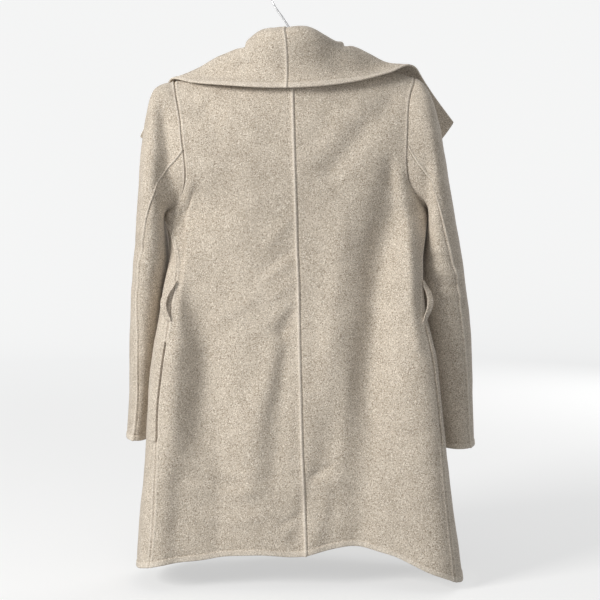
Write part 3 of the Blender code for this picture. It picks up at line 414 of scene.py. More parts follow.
def close_seams(cloth):
    """Moves the sewn edges into the gap that the CAD leaves at a seam."""
    for kind, edge, inside in zip(cloth["kinds"], EDGES, INSIDE_EDGES):
        if kind != "turned":
            cloth["middle"][edge] += SEAM_CLOSE * unit(cloth["middle"][edge] - cloth["middle"][inside])


def mesh_object(name, verts, quads, relief, material):
    """Smooth object of quads, with the relief at each point, from which its material paints a highlight on
    ridges and shade in grooves.
    """
    mesh = bpy.data.meshes.new(name)
    mesh.vertices.add(len(verts))
    mesh.vertices.foreach_set("co", (np.asarray(verts) * MM).astype(np.float32).ravel())
    mesh.loops.add(quads.size)
    mesh.loops.foreach_set("vertex_index", quads.astype(np.int32).ravel())
    mesh.polygons.add(len(quads))
    mesh.polygons.foreach_set("loop_start", np.arange(0, quads.size, 4, dtype=np.int32))
    mesh.polygons.foreach_set("loop_total", np.full(len(quads), 4, np.int32))
    mesh.update()
    mesh.validate()
    attribute = mesh.attributes.new("relief", "FLOAT", "POINT")
    attribute.data.foreach_set("value", np.asarray(relief, np.float32))
    mesh.shade_smooth()
    mesh.materials.append(material)
    obj = bpy.data.objects.new(name, mesh)
    bpy.context.scene.collection.objects.link(obj)
    return obj


def numbered(grid):
    """The numbers of a grid's points, row by row."""
    rows, columns = grid.shape[:2]
    return np.arange(rows * columns).reshape(rows, columns)


def grid_quads(index):
    corners = index[:-1, :-1], index[:-1, 1:], index[1:, 1:], index[1:, :-1]
    return np.stack(corners, axis=-1).reshape(-1, 4)


def faces_inward(middle, normal):
    """Whether a grid's quads, in the order of grid_quads, face against its normals."""
    i, j = middle.shape[0] // 2, middle.shape[1] // 2
    here = middle[i, j]
    return np.cross(middle[i, j + 1] - here, middle[i + 1, j] - here) @ normal[i, j] < 0


def shell(name, cloth, material):
    """Closed cloth wall round a grid of middle points, with rounded turned edges."""
    middle, normal, kinds, over = cloth["middle"], cloth["normal"], cloth["kinds"], cloth["over"]
    index = numbered(middle)
    outer = middle + normal * (CLOTH / 2 + over)[..., None]
    inner = middle - normal * (CLOTH / 2)
    loop = np.concatenate([index[0, :-1], index[:-1, -1], index[-1, :0:-1], index[:0:-1, 0]])
    outward = np.zeros_like(middle)
    turned = np.zeros(index.shape)
    for kind, edge, inside in zip(kinds, EDGES, INSIDE_EDGES):
        outward[edge] += unit(middle[edge] - middle[inside])
        if kind == "turned":
            turned[edge] = 1.0
    o, i = outer.reshape(-1, 3)[loop], inner.reshape(-1, 3)[loop]
    way = outward.reshape(-1, 3)[loop] * turned.reshape(-1)[loop][:, None]
    half = np.linalg.norm(o - i, axis=1, keepdims=True) / 2
    rings = [(o + i) / 2 + (o - i) / 2 * math.cos(a) + way * half * math.sin(a) for a in RIM_TURNS]
    verts = np.concatenate([outer.reshape(-1, 3), inner.reshape(-1, 3), *rings])
    shade = np.concatenate([over.ravel(), np.zeros(index.size), *[over.reshape(-1)[loop]] * len(rings)])
    top = grid_quads(index)
    quads = [top, top[:, ::-1] + index.size]
    bands = [loop]
    for k in range(len(rings)):
        bands.append(2 * index.size + k * len(loop) + np.arange(len(loop)))
    bands.append(loop + index.size)
    for one, two in zip(bands[:-1], bands[1:]):
        quads.append(np.stack([np.roll(one, -1), one, two, np.roll(two, -1)], axis=1))
    quads = np.concatenate(quads)
    if faces_inward(middle, normal):
        quads = quads[:, ::-1]
    return mesh_object(name, verts, quads, shade, material)


SIDE_SHARE = 0.16           # share of a half back's width over which the folds come in from its side seam
CORNER_SHARES = (0.4, 1.0)  # shares of the collar's width over which the lapel's corner gets sharp
CORNER_SKIP = 3             # stations at the collar's ends where that corner can't be


def corner_row(grid):
    """The station where the collar's outer edge turns most: the lapel's corner."""
    way = unit(np.diff(grid[:, -1], axis=0))
    turn = np.sum(way[1:] * way[:-1], axis=1)
    return CORNER_SKIP + 1 + int(np.argmin(turn[CORNER_SKIP:-CORNER_SKIP]))


def surface(node, wall):
    """Fine middle surface of one wall, its normals and the distances from its four edges."""
    grid, normal = wall["grid"], wall["normal"]
    share = np.linspace(0.0, 1.0, grid.shape[1])
    if node.startswith("back"):
        share = np.array(BACK_COLUMNS)
        grid[..., 1] -= back_folds(grid[..., 0], grid[..., 2]) * smoothstep(0.0, SIDE_SHARE, 1 - share)
    # Channels: the point, the normal, the share across and later the distances from the four edges.
    p = np.concatenate([grid, normal, np.broadcast_to(share[None, :, None], (*grid.shape[:2], 1))], axis=2)
    fine = spline(p, 0, FINE)
    if node.startswith("collar"):
        row = corner_row(grid)
        broken = np.concatenate([spline(p[:row + 1], 0, FINE), spline(p[row:], 0, FINE)[1:]])
        keep = smoothstep(*CORNER_SHARES, share)[None, :, None]
        fine = fine * (1 - keep) + broken * keep
    kinds = [wall[key] for key in ("u0", "u1", "v0", "v1")]
    p = lines(spline(fine, 1, FINE), 1, edge_lines(kinds[0]), edge_lines(kinds[1]))
    p = lines(p, 0, edge_lines(kinds[2]), edge_lines(kinds[3]))
    middle, share, far = p[..., :3].copy(), p[..., 6], p[..., 7:]
    if node.startswith("back"):
        folds = back_folds(middle[..., 0], middle[..., 2])
        middle[..., 1] += folds * smoothstep(0.0, SIDE_SHARE, 1 - share)
    cloth = {"middle": middle, "seam_normal": unit(p[..., 3:6]), "share": share, "far": far, "kinds": kinds}
    cloth["normal"] = fair_normals(cloth)
    return cloth


def fair_normals(cloth):
    """Normals of the surface, turning to the shared ones close to a seam."""
    n, seam = normals(cloth["middle"]), cloth["seam_normal"]
    if np.sum(n * seam) < 0:
        n = -n
    near = np.zeros(n.shape[:2])
    for k, kind in enumerate(cloth["kinds"]):
        if kind != "turned":
            near = np.maximum(near, bell(cloth["far"][..., k], SEAM_BLEND))
    return unit(n * (1 - near[..., None]) + seam * near[..., None])


def raise_by(cloth, height):
    """Moves the surface out along its normals."""
    cloth["middle"] = cloth["middle"] + cloth["normal"] * height[..., None]
    cloth["normal"] = fair_normals(cloth)


def finish_relief(cloth):
    """Closes the seams and works out the relief of all four edges."""
    close_seams(cloth)
    cloth["over"] = sum(profile(kind, cloth["far"][..., k]) for k, kind in enumerate(cloth["kinds"]))


# ---------------------------------------------------------------- body, sleeves and collar

# Pocket slits in the side seams, by side: top and bottom.
POCKET = {1: (-598.0, -756.0), -1: (-574.0, -764.0)}
SLIT_DEPTH = 3.0
SLIT_WIDE = 2.6
SLIT_END = 8.0              # length over which a slit closes

# Where the drape comes in: distances from an edge, and heights.
ARMHOLE_FADE = (1.0, 30.0)
ARMHOLE_HEIGHTS = (UNDERARM - 30.0, UNDERARM + 10.0)
SHOULDER_FADE = (0.0, 25.0)
LAPEL_FADE = (0.0, 25.0)
LAPEL_HEIGHTS = (BREAK - 30.0, BREAK)
SLEEVE_TOP_FADE = (1.0, 16.0)

# Height of the slow swelling of each part's cloth.
BODY_SWELL = 1.1
SLEEVE_SWELL = 0.9


def slit(z, side):
    """1 along a pocket slit and 0 past its ends."""
    top, low = POCKET[side]
    return smoothstep(0.0, SLIT_END, top - z) * smoothstep(0.0, SLIT_END, z - low)


def drape_body(node, cloth):
    """Creases a back or a front, less at its armhole, shoulder and lapel, and sinks its pocket slit."""
    p, far = cloth["middle"], cloth["far"]
    side = 1 if node.endswith("left") else -1
    outer, inner = (1, 0) if node.startswith("back") else (0, 1)
    high = smoothstep(*ARMHOLE_HEIGHTS, p[..., 2])
    fade = 1 - (1 - smoothstep(*ARMHOLE_FADE, far[..., outer])) * high
    fade = fade * smoothstep(*SHOULDER_FADE, far[..., 2])
    if node.startswith("front"):
        lapel = smoothstep(*LAPEL_HEIGHTS, p[..., 2])
        fade = fade * (1 - (1 - smoothstep(*LAPEL_FADE, far[..., inner])) * lapel)
    height = drape(p, cloth["normal"], BACK_CREASES, FRONT_CREASES, BODY_SWELL) * fade
    height -= SLIT_DEPTH * bell(far[..., outer], SLIT_WIDE) * slit(p[..., 2], side)
    raise_by(cloth, height)


def drape_sleeve(cloth):
    fade = smoothstep(*SLEEVE_TOP_FADE, cloth["far"][..., 2])
    tables = SLEEVE_BACK_CREASES, SLEEVE_FRONT_CREASES
    raise_by(cloth, drape(cloth["middle"], cloth["normal"], *tables, SLEEVE_SWELL) * fade)


def tree_of(names):
    """Search tree over the middle surfaces of several pieces, facing outwards."""
    verts, quads = [], []
    for name in names:
        middle = clothes[name]["middle"]
        own = grid_quads(numbered(middle))
        if faces_inward(middle, clothes[name]["normal"]):
            own = own[:, ::-1]
        quads += (own + len(verts)).tolist()
        verts += middle.reshape(-1, 3).tolist()
    return BVHTree.FromPolygons(verts, quads)


COLLAR_LIE = 4.6            # middle of the collar above the middle of what it lies on
ROLL_SHARE = 0.42           # share of the collar's columns past which it lies on the coat
COLLAR_FADE = (0.0, 20.0)   # distances from the collar's seams over which its swelling comes in
COLLAR_SWELL = (44.0, 3.0)  # size and seed
COLLAR_SWELL_HEIGHT = 0.7
LAY_SMOOTHINGS = (4, 0)     # how often the push off the coat is spread, in the first and second round

# Form of the collar's fall behind the neck, full under the crest and turned out at its edge:
# share across, half width and height.
FALL_FORM = ((0.6, 0.2, 18.0), (1.0, 0.05, 4.0))
FALL_REACH = 200.0          # distance from the middle by which that form is gone
FALL_FULL = 0.6 * FALL_REACH            # distance up to which it is full
FALL_BEHIND = (-5.0, 15.0)  # y over which it comes in
FALL_LEAN = 0.5             # how much fuller it gets towards the left shoulder

# Local rises of the collar towards +Z where it stands higher: place (x, z), half width and height.
COLLAR_RISES = (
    ((20.0, -96.0), 60.0, -3.0),
    ((104.0, -116.0), 26.0, -6.0),
    ((-68.0, -102.0), 14.0, -6.0),
    ((-184.0, -160.0), 30.0, 9.0),
)


def push_off(cloth, below):
    """How far each point of the collar's fall has to move to lie clear on the cloth below it."""
    push = np.zeros(cloth["middle"].shape)
    for i, j in zip(*np.nonzero(cloth["share"] > ROLL_SHARE)):
        point = Vector(cloth["middle"][i, j])
        near, n, _index, _distance = below.find_nearest(point)
        low = COLLAR_LIE - (point - near).dot(n)
        if low > 0:
            push[i, j] = np.array(n) * low
    return push


def widened(push):
    """The push, or the mean of its four neighbours where that is larger."""
    mean = push.copy()
    mean[1:-1, 1:-1] = (push[:-2, 1:-1] + push[2:, 1:-1] + push[1:-1, :-2] + push[1:-1, 2:]) / 4
    long, longer = (np.linalg.norm(way, axis=2, keepdims=True) for way in (push, mean))
    return np.where(longer > long, mean, push)


def lay_collar(cloth, below):
    """Forms the falling part of the collar and settles it on the cloth below it."""
    p = cloth["middle"]
    fade = smoothstep(*COLLAR_FADE, cloth["far"][..., 0]) * smoothstep(*COLLAR_FADE, cloth["far"][..., 2])
    p += cloth["normal"] * (COLLAR_SWELL_HEIGHT * swell(p, *COLLAR_SWELL) * fade)[..., None]
    behind = 1 - smoothstep(FALL_FULL, FALL_REACH, np.abs(p[..., 0]))
    behind = behind * smoothstep(*FALL_BEHIND, p[..., 1])
    behind = behind * (1.0 + FALL_LEAN * smoothstep(0.0, FALL_FULL, p[..., 0]))
    for share, wide, height in FALL_FORM:
        p[..., 1] += height * bell(cloth["share"] - share, wide) * behind
    for (x, z), wide, height in COLLAR_RISES:
        p[..., 2] += height * bell(np.hypot(p[..., 0] - x, p[..., 2] - z), wide)
    for smoothings in LAY_SMOOTHINGS:
        push = push_off(cloth, below)
        for _smoothing in range(smoothings):
            push = widened(push)
        p += push
    cloth["normal"] = fair_normals(cloth)


# ---------------------------------------------------------------- swept pieces

CAP_SIZE = 0.6              # of a swept piece's end face to its section
CAP_RISE = 0.35             # how far that face stands out, in half thicknesses


def sweep(name, points, outward, across, wide, thick, material, power=4.0, sides=20, relief=0.0):
    """Closed rounded strip or rod along points; wide and thick may change along it."""
    points, count = np.asarray(points), len(points)
    wide, thick = np.broadcast_to(wide, count) / 2, np.broadcast_to(thick, count) / 2
    a = np.arange(sides) * 2 * math.pi / sides
    u = (np.sign(np.cos(a)) * np.abs(np.cos(a)) ** (2 / power))[:, None]
    v = (np.sign(np.sin(a)) * np.abs(np.sin(a)) ** (2 / power))[:, None]
    along = unit(np.gradient(points, axis=0))
    sections = [across[k] * wide[k] * u + outward[k] * thick[k] * v for k in range(count)]
    rings = [points[k] + sections[k] for k in range(count)]
    first = points[0] - along[0] * CAP_RISE * thick[0] + sections[0] * CAP_SIZE
    last = points[-1] + along[-1] * CAP_RISE * thick[-1] + sections[-1] * CAP_SIZE
    rings = [first, *rings, last]
    verts = np.concatenate(rings)
    quads = []
    for i in range(len(rings) - 1):
        for j in range(sides):
            k = (j + 1) % sides
            quads.append((i * sides + j, i * sides + k, (i + 1) * sides + k, (i + 1) * sides + j))
    for base in (0, (len(rings) - 1) * sides):
        for j in range(1, sides // 2):
            cap = (base + j - 1, base + j, base + sides - 1 - j, base + (sides - j) % sides)
            quads.append(cap if base else cap[::-1])
    obj = mesh_object(name, verts, np.array(quads), np.full(len(verts), relief), material)
    work = bmesh.new()
    work.from_mesh(obj.data)
    bmesh.ops.recalc_face_normals(work, faces=work.faces[:])
    work.to_mesh(obj.data)
    work.free()
    return obj


# Belt loops bow out of the side seams: share of their length, and distance out.
LOOP = ((0.0, 2.7), (0.1, 5.0), (0.3, 11.5), (0.5, 14.0), (0.7, 12.0), (0.9, 5.6), (1.0, 2.7))
LOOP_SIDES = {1: (-503.0, -565.0), -1: (-502.0, -566.0)}        # by side: top and bottom
LOOP_TURN = 1.2             # how far a loop's bow turns sideways, halfway along it
LOOP_FACE = 1.6             # how far its face turns towards the back, halfway along it
LOOP_WIDE = 11.0
LOOP_THICK = 2.4
LIP_WIDE = 9.0
LIP_THICK = 1.8
LIP_BACK = 0.6              # how far a lip's edge keeps from the seam
LIP_PARTS = 48
SEAM_GAP = 0.3
TRIM_RELIEF = 0.25          # relief that the wool is given on loops and lips, a faint painted highlight on them
SEAM_BELOW_ARM = 20.0       # where the side seam is read from, under the underarm point


def seam_at(side, z):
    """Side seam point and outward direction at height z, on the finished back."""
    cloth = clothes["back_left" if side > 0 else "back_right"]
    rows = cloth["middle"][:, -1, 2] < UNDERARM - SEAM_BELOW_ARM
    line, n = cloth["middle"][rows, -1], cloth["normal"][rows, -1]
    p, o = (np.array([np.interp(-z, -line[:, 2], row[:, k]) for k in range(3)]) for row in (line, n))
    p += SLIT_DEPTH * slit(z, side) * o
    return p, unit(o * (1, 1, 0))


def belt_loop(side, word):
    high, low = LOOP_SIDES[side]
    table = np.array([(share * (high - low), out, out) for share, out in LOOP])
    points, outs, turns = [], [], []
    for down, out, _same in spline(table[:, None], 0, FINE / 2)[:, 0]:
        bow = math.sin(math.pi * down / (high - low))
        p, o = seam_at(side, high - down)
        o = unit(o + np.array([side * LOOP_TURN * bow, 0.0, 0.0]))
        face = unit(o + np.array([0.0, LOOP_FACE * bow, 0.0]))
        points.append(p + o * out)
        outs.append(face)
        turns.append(np.array([-face[1], face[0], 0.0]) * side)
    return sweep("loop_" + word, points, outs, turns, LOOP_WIDE, LOOP_THICK, WOOL, relief=TRIM_RELIEF)


def pocket_lip(side, word):
    points, outs, turns = [], [], []
    for z in np.linspace(*POCKET[side], LIP_PARTS + 1):
        p, o = seam_at(side, z)
        w = np.array([-o[1], o[0], 0.0]) * side
        points.append(p + o * (CLOTH / 2 + LIP_THICK / 2 + SEAM_GAP) - w * (LIP_WIDE / 2 + LIP_BACK))
        outs.append(o)
        turns.append(w)
    return sweep("lip_" + word, points, outs, turns, LIP_WIDE, LIP_THICK, WOOL, relief=TRIM_RELIEF)


# Hanger: wooden bar under the shoulder seams and wire hook, as in the CAD.
HANGER_THICK = 8.0
HANGER_DEEP = 26.0
HANGER_END = 178.0
HANGER_STATIONS = (HANGER_END, 150.0, 110.0, 72.0, 40.0)
HANGER_CLEAR = 1.9          # from the shoulder seams down to the bar
HANGER_RISE = 0.12          # slope of the bar between the neck points
HANGER_CROWN = (0.0, 4.0, -122.0)
HANGER_TAPER = 24.0         # length over which its ends get less deep and thick
END_DEEP = 0.55             # of the full depth
END_THICK = 0.75            # of the full thickness
HOOK_WIRE = 3.6
HOOK_RADIUS = 37.0          # inside its bow
HOOK_STEM = ((0.0, -121.7), (0.0, -112.0), (2.0, -103.0), (10.0, -91.0), (20.0, -76.0))     # x and z
HOOK_BOW = (-32.0, 206.0, 14.0)         # first angle, limit and step, in degrees
HOOK_BACK = 4.0             # how far behind the crown the stem stands
HOOK_LEAN = 90.0            # depth below the crown by which it stands that far back


def hanger_bar():
    sides = []
    for side, word in ((1, "left"), (-1, "right")):
        top = walls["back_" + word]["grid"][0, BACK_COLUMNS.index(NECK_END):]
        neck, tip = np.abs(top[0]), np.abs(top[-1])
        stations = []
        for x in HANGER_STATIONS:
            t = (tip[0] - x) / (tip[0] - neck[0])
            y, z = tip[1:] + (neck[1:] - tip[1:]) * min(t, 1.0)
            z = -z - HANGER_CLEAR + HANGER_RISE * max(neck[0] - x, 0.0)
            stations.append((side * x, y, z))
        sides.append(stations)
    line = np.array(sides[0] + [HANGER_CROWN] + sides[1][::-1])
    line = spline(line[:, None], 0, FINE)[:, 0]
    full = smoothstep(0.0, HANGER_TAPER, HANGER_END - np.abs(line[:, 0]))
    deep = HANGER_DEEP * (END_DEEP + (1 - END_DEEP) * full)
    thick = HANGER_THICK * (END_THICK + (1 - END_THICK) * full)
    line[:, 2] -= deep / 2
    across = np.tile([0.0, 0.0, 1.0], (len(line), 1))
    outs = np.tile([0.0, 1.0, 0.0], (len(line), 1))
    return sweep("hanger_bar", line, outs, across, deep, thick, WOOD, power=2.8, sides=28)


def hook():
    bow = HOOK_RADIUS + HOOK_WIRE / 2
    points = list(HOOK_STEM)
    for a in np.radians(np.arange(*HOOK_BOW)):
        points.append((bow * math.cos(a), bow * math.sin(a) - HOOK_RADIUS))
    line = np.array([(x, HOOK_BACK * min(1.0, max(0.0, -z / HOOK_LEAN)), z) for x, z in points])
    line = spline(line[:, None], 0, FINE)[:, 0]
    outs = np.tile([0.0, 1.0, 0.0], (len(line), 1))
    across = unit(np.cross(np.gradient(line, axis=0), outs))
    return sweep("hanger_hook_wire", line, outs, across, HOOK_WIRE, HOOK_WIRE, STEEL, power=2.0, sides=16)


# ---------------------------------------------------------------- materials

def node(tree, kind, settings=None, **sockets):
    """A shader node with its properties set and its sockets filled or linked."""
    new = tree.nodes.new(kind)
    for key, value in (settings or {}).items():
        setattr(new, key, value)
    for key, value in sockets.items():
        numbered_socket = key[0] == "i" and key[1:].isdigit()
        socket = new.inputs[int(key[1:]) if numbered_socket else key.replace("_", " ")]
        if isinstance(value, bpy.types.NodeSocket):
            tree.links.new(value, socket)
        else:
            socket.default_value = value
    return new.outputs


def new_material(name, rough, metal=0.0):
    mat = bpy.data.materials.new(name)
    mat.use_nodes = True
    shader = mat.node_tree.nodes["Principled BSDF"]
    shader.inputs["Roughness"].default_value = rough
    shader.inputs["Metallic"].default_value = metal
    return mat, mat.node_tree, shader


def stretch(tree, coords, scales):
    """Coordinates times a scale along each axis."""
    return node(tree, "ShaderNodeVectorMath", {"operation": "MULTIPLY"}, i0=coords, i1=scales)["Vector"]


def noise(tree, vector, scale=1.0, detail=2.0, rough=0.5):
    return node(tree, "ShaderNodeTexNoise", Vector=vector, Scale=scale, Detail=detail, Roughness=rough)["Fac"]


def spread(tree, value, low, high, to_low=0.0, to_high=1.0):
    """Smooth step of a value from low to high, onto another range."""
    smooth = {"interpolation_type": "SMOOTHSTEP"}
    ends = {"From_Min": low, "From_Max": high, "To_Min": to_low, "To_Max": to_high}
    return node(tree, "ShaderNodeMapRange", smooth, Value=value, **ends)["Result"]


def mix(tree, factor, a, b):
    return node(tree, "ShaderNodeMix", {"data_type": "RGBA"}, i0=factor, i6=a, i7=b)[2]


def math_node(tree, operation, a, b):
    return node(tree, "ShaderNodeMath", {"operation": operation}, i0=a, i1=b)["Value"]


CREAM = (0.86, 0.79, 0.69, 1)
BROWN = (0.20, 0.155, 0.11, 1)
GREY = (0.26, 0.245, 0.22, 1)
OAT_DARK = (0.455, 0.388, 0.308, 1)
OAT_PALE = (0.535, 0.463, 0.375, 1)
WOOD_DARK = (0.42, 0.26, 0.13, 1)
WOOD_PALE = (0.58, 0.39, 0.21, 1)
WOOD_PORE = (0.22, 0.12, 0.06, 1)
STEEL_DARK = (0.56, 0.56, 0.57, 1)
STEEL_PALE = (0.70, 0.70, 0.71, 1)

# Scales of the wool's patterns, a metre.
CLOUD_SCALE = 30.0
GRAIN_SCALE = 640.0
FLECK_SCALES = (580.0, 580.0, 560.0)
LYING_SCALES = (280.0, 280.0, 1150.0)
STANDING_SCALES = (1150.0, 1150.0, 300.0)
FUZZ_SCALE = 1500.0


def wool():
    """Double-faced melange wool: brushed oatmeal ground with cream, brown and grey fibres, with a painted
    highlight on raised seams and edges and painted shade in grooves.
    """
    mat, tree, shader = new_material("melange_wool", 0.95)
    coords = node(tree, "ShaderNodeTexCoord")["Object"]
    clouds = noise(tree, coords, CLOUD_SCALE, 4.0, 0.6)
    grain = noise(tree, coords, GRAIN_SCALE, 2.0, 0.6)
    flecks = noise(tree, stretch(tree, coords, FLECK_SCALES), rough=0.6)
    lying = noise(tree, stretch(tree, coords, LYING_SCALES))
    standing = noise(tree, stretch(tree, coords, STANDING_SCALES))
    relief = node(tree, "ShaderNodeAttribute", {"attribute_name": "relief"})["Fac"]
    colour = mix(tree, spread(tree, clouds, 0.34, 0.66), OAT_DARK, OAT_PALE)
    # What lies over that: pattern, its values for none and most, the share at most, and the colour.
    layers = (
        (grain, 0.48, 0.66, 0.85, CREAM),
        (flecks, 0.50, 0.35, 0.80, BROWN),
        (lying, 0.58, 0.70, 0.6, CREAM),
        (standing, 0.60, 0.72, 0.6, GREY),
        # Painted highlight and shade: cream on the ridges of seams and edges, brown in their grooves.
        (relief, 0.2, 1.4, 0.36, CREAM),
        (relief, -0.15, -1.1, 0.45, BROWN),
    )
    for pattern, none, most, share, over in layers:
        colour = mix(tree, spread(tree, pattern, none, most, 0.0, share), colour, over)
    tree.links.new(colour, shader.inputs["Base Color"])
    fuzz = grain
    for finer in (noise(tree, coords, FUZZ_SCALE), lying):
        fuzz = math_node(tree, "ADD", fuzz, math_node(tree, "MULTIPLY", finer, 0.5))
    bump = node(tree, "ShaderNodeBump", Strength=0.6, Distance=0.0007, Height=fuzz)["Normal"]
    tree.links.new(bump, shader.inputs["Normal"])
    shader.inputs["Specular IOR Level"].default_value = 0.15
    shader.inputs["Sheen Weight"].default_value = 0.2
    shader.inputs["Sheen Roughness"].default_value = 0.6
    shader.inputs["Sheen Tint"].default_value = (1.0, 0.96, 0.9, 1)
    return mat


def wood():
    mat, tree, shader = new_material("hanger_beech", 0.45)
    coords = node(tree, "ShaderNodeTexCoord")["Object"]
    rings = noise(tree, stretch(tree, coords, (9.0, 260.0, 120.0)), detail=4.0, rough=0.6)
    pores = noise(tree, stretch(tree, coords, (120.0, 1800.0, 1200.0)))
    colour = mix(tree, spread(tree, rings, 0.3, 0.7), WOOD_DARK, WOOD_PALE)
    colour = mix(tree, spread(tree, pores, 0.62, 0.75, 0.0, 0.5), colour, WOOD_PORE)
    tree.links.new(colour, shader.inputs["Base Color"])
    tree.links.new(spread(tree, rings, 0.2, 0.8, 0.38, 0.55), shader.inputs["Roughness"])
    bump = node(tree, "ShaderNodeBump", Strength=0.2, Distance=0.0003, Height=pores)["Normal"]
    tree.links.new(bump, shader.inputs["Normal"])
    return mat


def steel():
    mat, tree, shader = new_material("hook_wire_steel", 0.3, 1.0)
    coords = node(tree, "ShaderNodeTexCoord")["Object"]
    wear = noise(tree, coords, 240.0, 4.0, 0.6)
    colour = mix(tree, spread(tree, wear, 0.35, 0.7), STEEL_DARK, STEEL_PALE)
    tree.links.new(colour, shader.inputs["Base Color"])
    tree.links.new(spread(tree, wear, 0.3, 0.7, 0.22, 0.4), shader.inputs["Roughness"])
    return mat


# ---------------------------------------------------------------- camera, floor and light

# Camera behind the coat: place in metres, degrees down from level, lens and sensor in millimetres, and how
# far it sees, in metres.
CAMERA = (-0.00825, 1.99726, -0.43158)
CAMERA_PITCH = 3.0
CAMERA_LENS = 72.727
CAMERA_SENSOR = 36.0
CAMERA_FAR = 50.0


def camera():
    data = bpy.data.cameras.new("camera")
    data.lens, data.sensor_width = CAMERA_LENS, CAMERA_SENSOR
    data.clip_end = CAMERA_FAR
    obj = bpy.data.objects.new("camera", data)
    obj.location = CAMERA
    obj.rotation_euler = (math.radians(90.0 - CAMERA_PITCH), 0.0, math.pi)
    bpy.context.scene.collection.objects.link(obj)
    bpy.context.scene.camera = obj


# Round studio, in metres: a floor that curves up into a wall all round.
FLOOR = -0.992
FLOOR_RINGS = (0.02, 0.8, 1.8)
FLOOR_REACH = 3.6
WALL_BEND = 1.4
WALL_BEND_STEPS = 20
WALL_TOP = 4.0
STUDIO_SIDES = 96
PAPER = (0.42, 0.42, 0.42, 1)
PAPER_GLOW = (0.98, 0.985, 0.985, 1)
PAPER_GLOW_STRENGTH = (0.545, 0.715)    # beside the coat, and far from it
GLOW_RANGE = (1.0, 4.2)                 # distances from the coat's hook over which it grows


def backdrop():
    """Pale floor and wall, which the camera sees and which don't light or shade the coat."""
    line = [(r, FLOOR) for r in FLOOR_RINGS]
    for a in np.linspace(0.0, math.pi / 2, WALL_BEND_STEPS):
        line.append((FLOOR_REACH + WALL_BEND * math.sin(a), FLOOR + WALL_BEND * (1 - math.cos(a))))
    line.append((FLOOR_REACH + WALL_BEND, WALL_TOP))
    turn = np.arange(STUDIO_SIDES) * 2 * math.pi / STUDIO_SIDES
    verts = [(r * math.cos(a), r * math.sin(a), z) for r, z in line for a in turn]
    faces = [tuple(range(STUDIO_SIDES))]
    for i in range(len(line) - 1):
        for j in range(STUDIO_SIDES):
            k = (j + 1) % STUDIO_SIDES
            one, two = i * STUDIO_SIDES, (i + 1) * STUDIO_SIDES
            faces.append((one + k, one + j, two + j, two + k))
    mesh = bpy.data.meshes.new("backdrop")
    mesh.from_pydata(verts, [], faces)
    mesh.shade_smooth()
    mat, tree, shader = new_material("backdrop_paper", 0.9)
    coords = node(tree, "ShaderNodeTexCoord")["Object"]
    tooth = noise(tree, coords, 300.0)
    bump = node(tree, "ShaderNodeBump", Strength=0.05, Distance=0.0005, Height=tooth)["Normal"]
    tree.links.new(bump, shader.inputs["Normal"])
    shader.inputs["Base Color"].default_value = PAPER
    shader.inputs["Specular IOR Level"].default_value = 0.0
    shader.inputs["Emission Color"].default_value = PAPER_GLOW
    away = node(tree, "ShaderNodeVectorMath", {"operation": "LENGTH"}, i0=coords)["Value"]
    glow = spread(tree, away, *GLOW_RANGE, *PAPER_GLOW_STRENGTH)
    tree.links.new(glow, shader.inputs["Emission Strength"])
    mesh.materials.append(mat)
    obj = bpy.data.objects.new("backdrop", mesh)
    obj.visible_diffuse = obj.visible_shadow = False
    bpy.context.scene.collection.objects.link(obj)


WORLD_STRENGTH = 0.28
WORLD_COLOUR = (0.97, 0.985, 1.0, 1)

# Area lamps: place and target in metres, size, power in watts, colour.
LAMPS = (
    ("key", (3.05, 2.2, 0.9), (0.0, 0.0, -0.7), 1.4, 158.0, (1.0, 0.985, 0.96)),
    ("top", (0.2, 0.5, 1.9), (0.0, 0.0, -0.4), 1.4, 5.0, (1.0, 1.0, 1.0)),
    ("camera_side", (-0.6, 3.0, -0.4), (-0.1, 0.0, -0.55), 1.0, 17.0, (1.0, 0.99, 0.98)),
    ("front", (-1.8, -2.2, 0.5), (0.0, 0.0, -0.5), 1.6, 26.0, (1.0, 0.99, 0.98)),
)


def lights():
    for name, place, target, size, power, colour in LAMPS:
        data = bpy.data.lights.new(name, "AREA")
        data.size, data.energy, data.color = size, power, colour
        obj = bpy.data.objects.new(name, data)
        obj.location = place
        obj.rotation_euler = (Vector(target) - Vector(place)).to_track_quat("-Z", "Y").to_euler()
        bpy.context.scene.collection.objects.link(obj)
    world = bpy.data.worlds.new("studio")
    world.use_nodes = True
    sky = world.node_tree.nodes["Background"]
    sky.inputs["Color"].default_value = WORLD_COLOUR
    sky.inputs["Strength"].default_value = WORLD_STRENGTH
    bpy.context.scene.world = world
    bpy.context.scene.view_settings.view_transform = "Standard"


# ---------------------------------------------------------------- the coat

WOOL, WOOD, STEEL = wool(), wood(), steel()

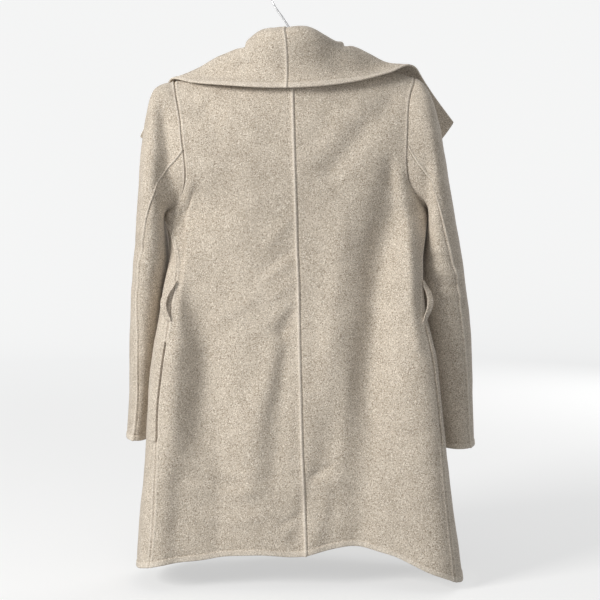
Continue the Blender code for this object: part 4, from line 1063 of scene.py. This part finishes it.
walls = {row[0]: dict(zip(WALL_COLUMNS, row)) for row in WALLS}
clothes = {}
for name, wall in walls.items():
    wall["grid"], wall["normal"] = read_wall(name, wall["first"], wall["along"], wall["inside"])
    clothes[name] = surface(name, dict(wall, grid=wall["grid"].copy()))
    if name.startswith(("back", "front")):
        drape_body(name, clothes[name])
    elif name.startswith("sleeve"):
        drape_sleeve(clothes[name])
for word in ("left", "right"):
    sleeve = "sleeve_" + word
    under = ["back_left", "back_right", "front_" + word, sleeve + "_upper", sleeve + "_under"]
    lay_collar(clothes["collar_" + word], tree_of(under))

# The cut of each piece: its flat width and length in metres, its flat area in square metres, and what it
# hangs on.
CUTS = (
    ("back_left", 0.31, 0.85, 0.182, ("hanger_bar",)),
    ("back_right", 0.31, 0.85, 0.177, ("hanger_bar",)),
    ("front_left", 0.40, 0.87, 0.237, ("hanger_bar",)),
    ("front_right", 0.40, 0.87, 0.237, ("hanger_bar",)),
    ("sleeve_left_upper", 0.22, 0.61, 0.085, ("back_left_cloth", "front_left_cloth")),
    ("sleeve_left_under", 0.17, 0.50, 0.070, ("back_left_cloth", "front_left_cloth")),
    ("sleeve_right_upper", 0.22, 0.62, 0.084, ("back_right_cloth", "front_right_cloth")),
    ("sleeve_right_under", 0.19, 0.52, 0.078, ("back_right_cloth", "front_right_cloth")),
    ("collar_left", 0.24, 0.62, 0.074, ("back_left_cloth", "front_left_cloth")),
    ("collar_right", 0.24, 0.62, 0.077, ("back_right_cloth", "front_right_cloth")),
)

bar = hanger_bar()
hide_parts("hanger_body")
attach(bar, "root")
wire = hook()
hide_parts("hanger_hook")
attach(wire, "root")

for name, cloth in clothes.items():
    finish_relief(cloth)
    piece = shell(name + "_cloth", cloth, WOOL)
    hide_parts(name)
    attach(piece, "root")
for name, width, length, area, rests_on in CUTS:
    piece = bpy.data.objects[name + "_cloth"]
for side, word in ((1, "left"), (-1, "right")):
    loop = belt_loop(side, word)
    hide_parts("belt_loop_" + word)
    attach(loop, "root")
    lip = pocket_lip(side, word)
    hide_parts("pocket_lip_" + word)
    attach(lip, "root")

camera()
backdrop()
lights()
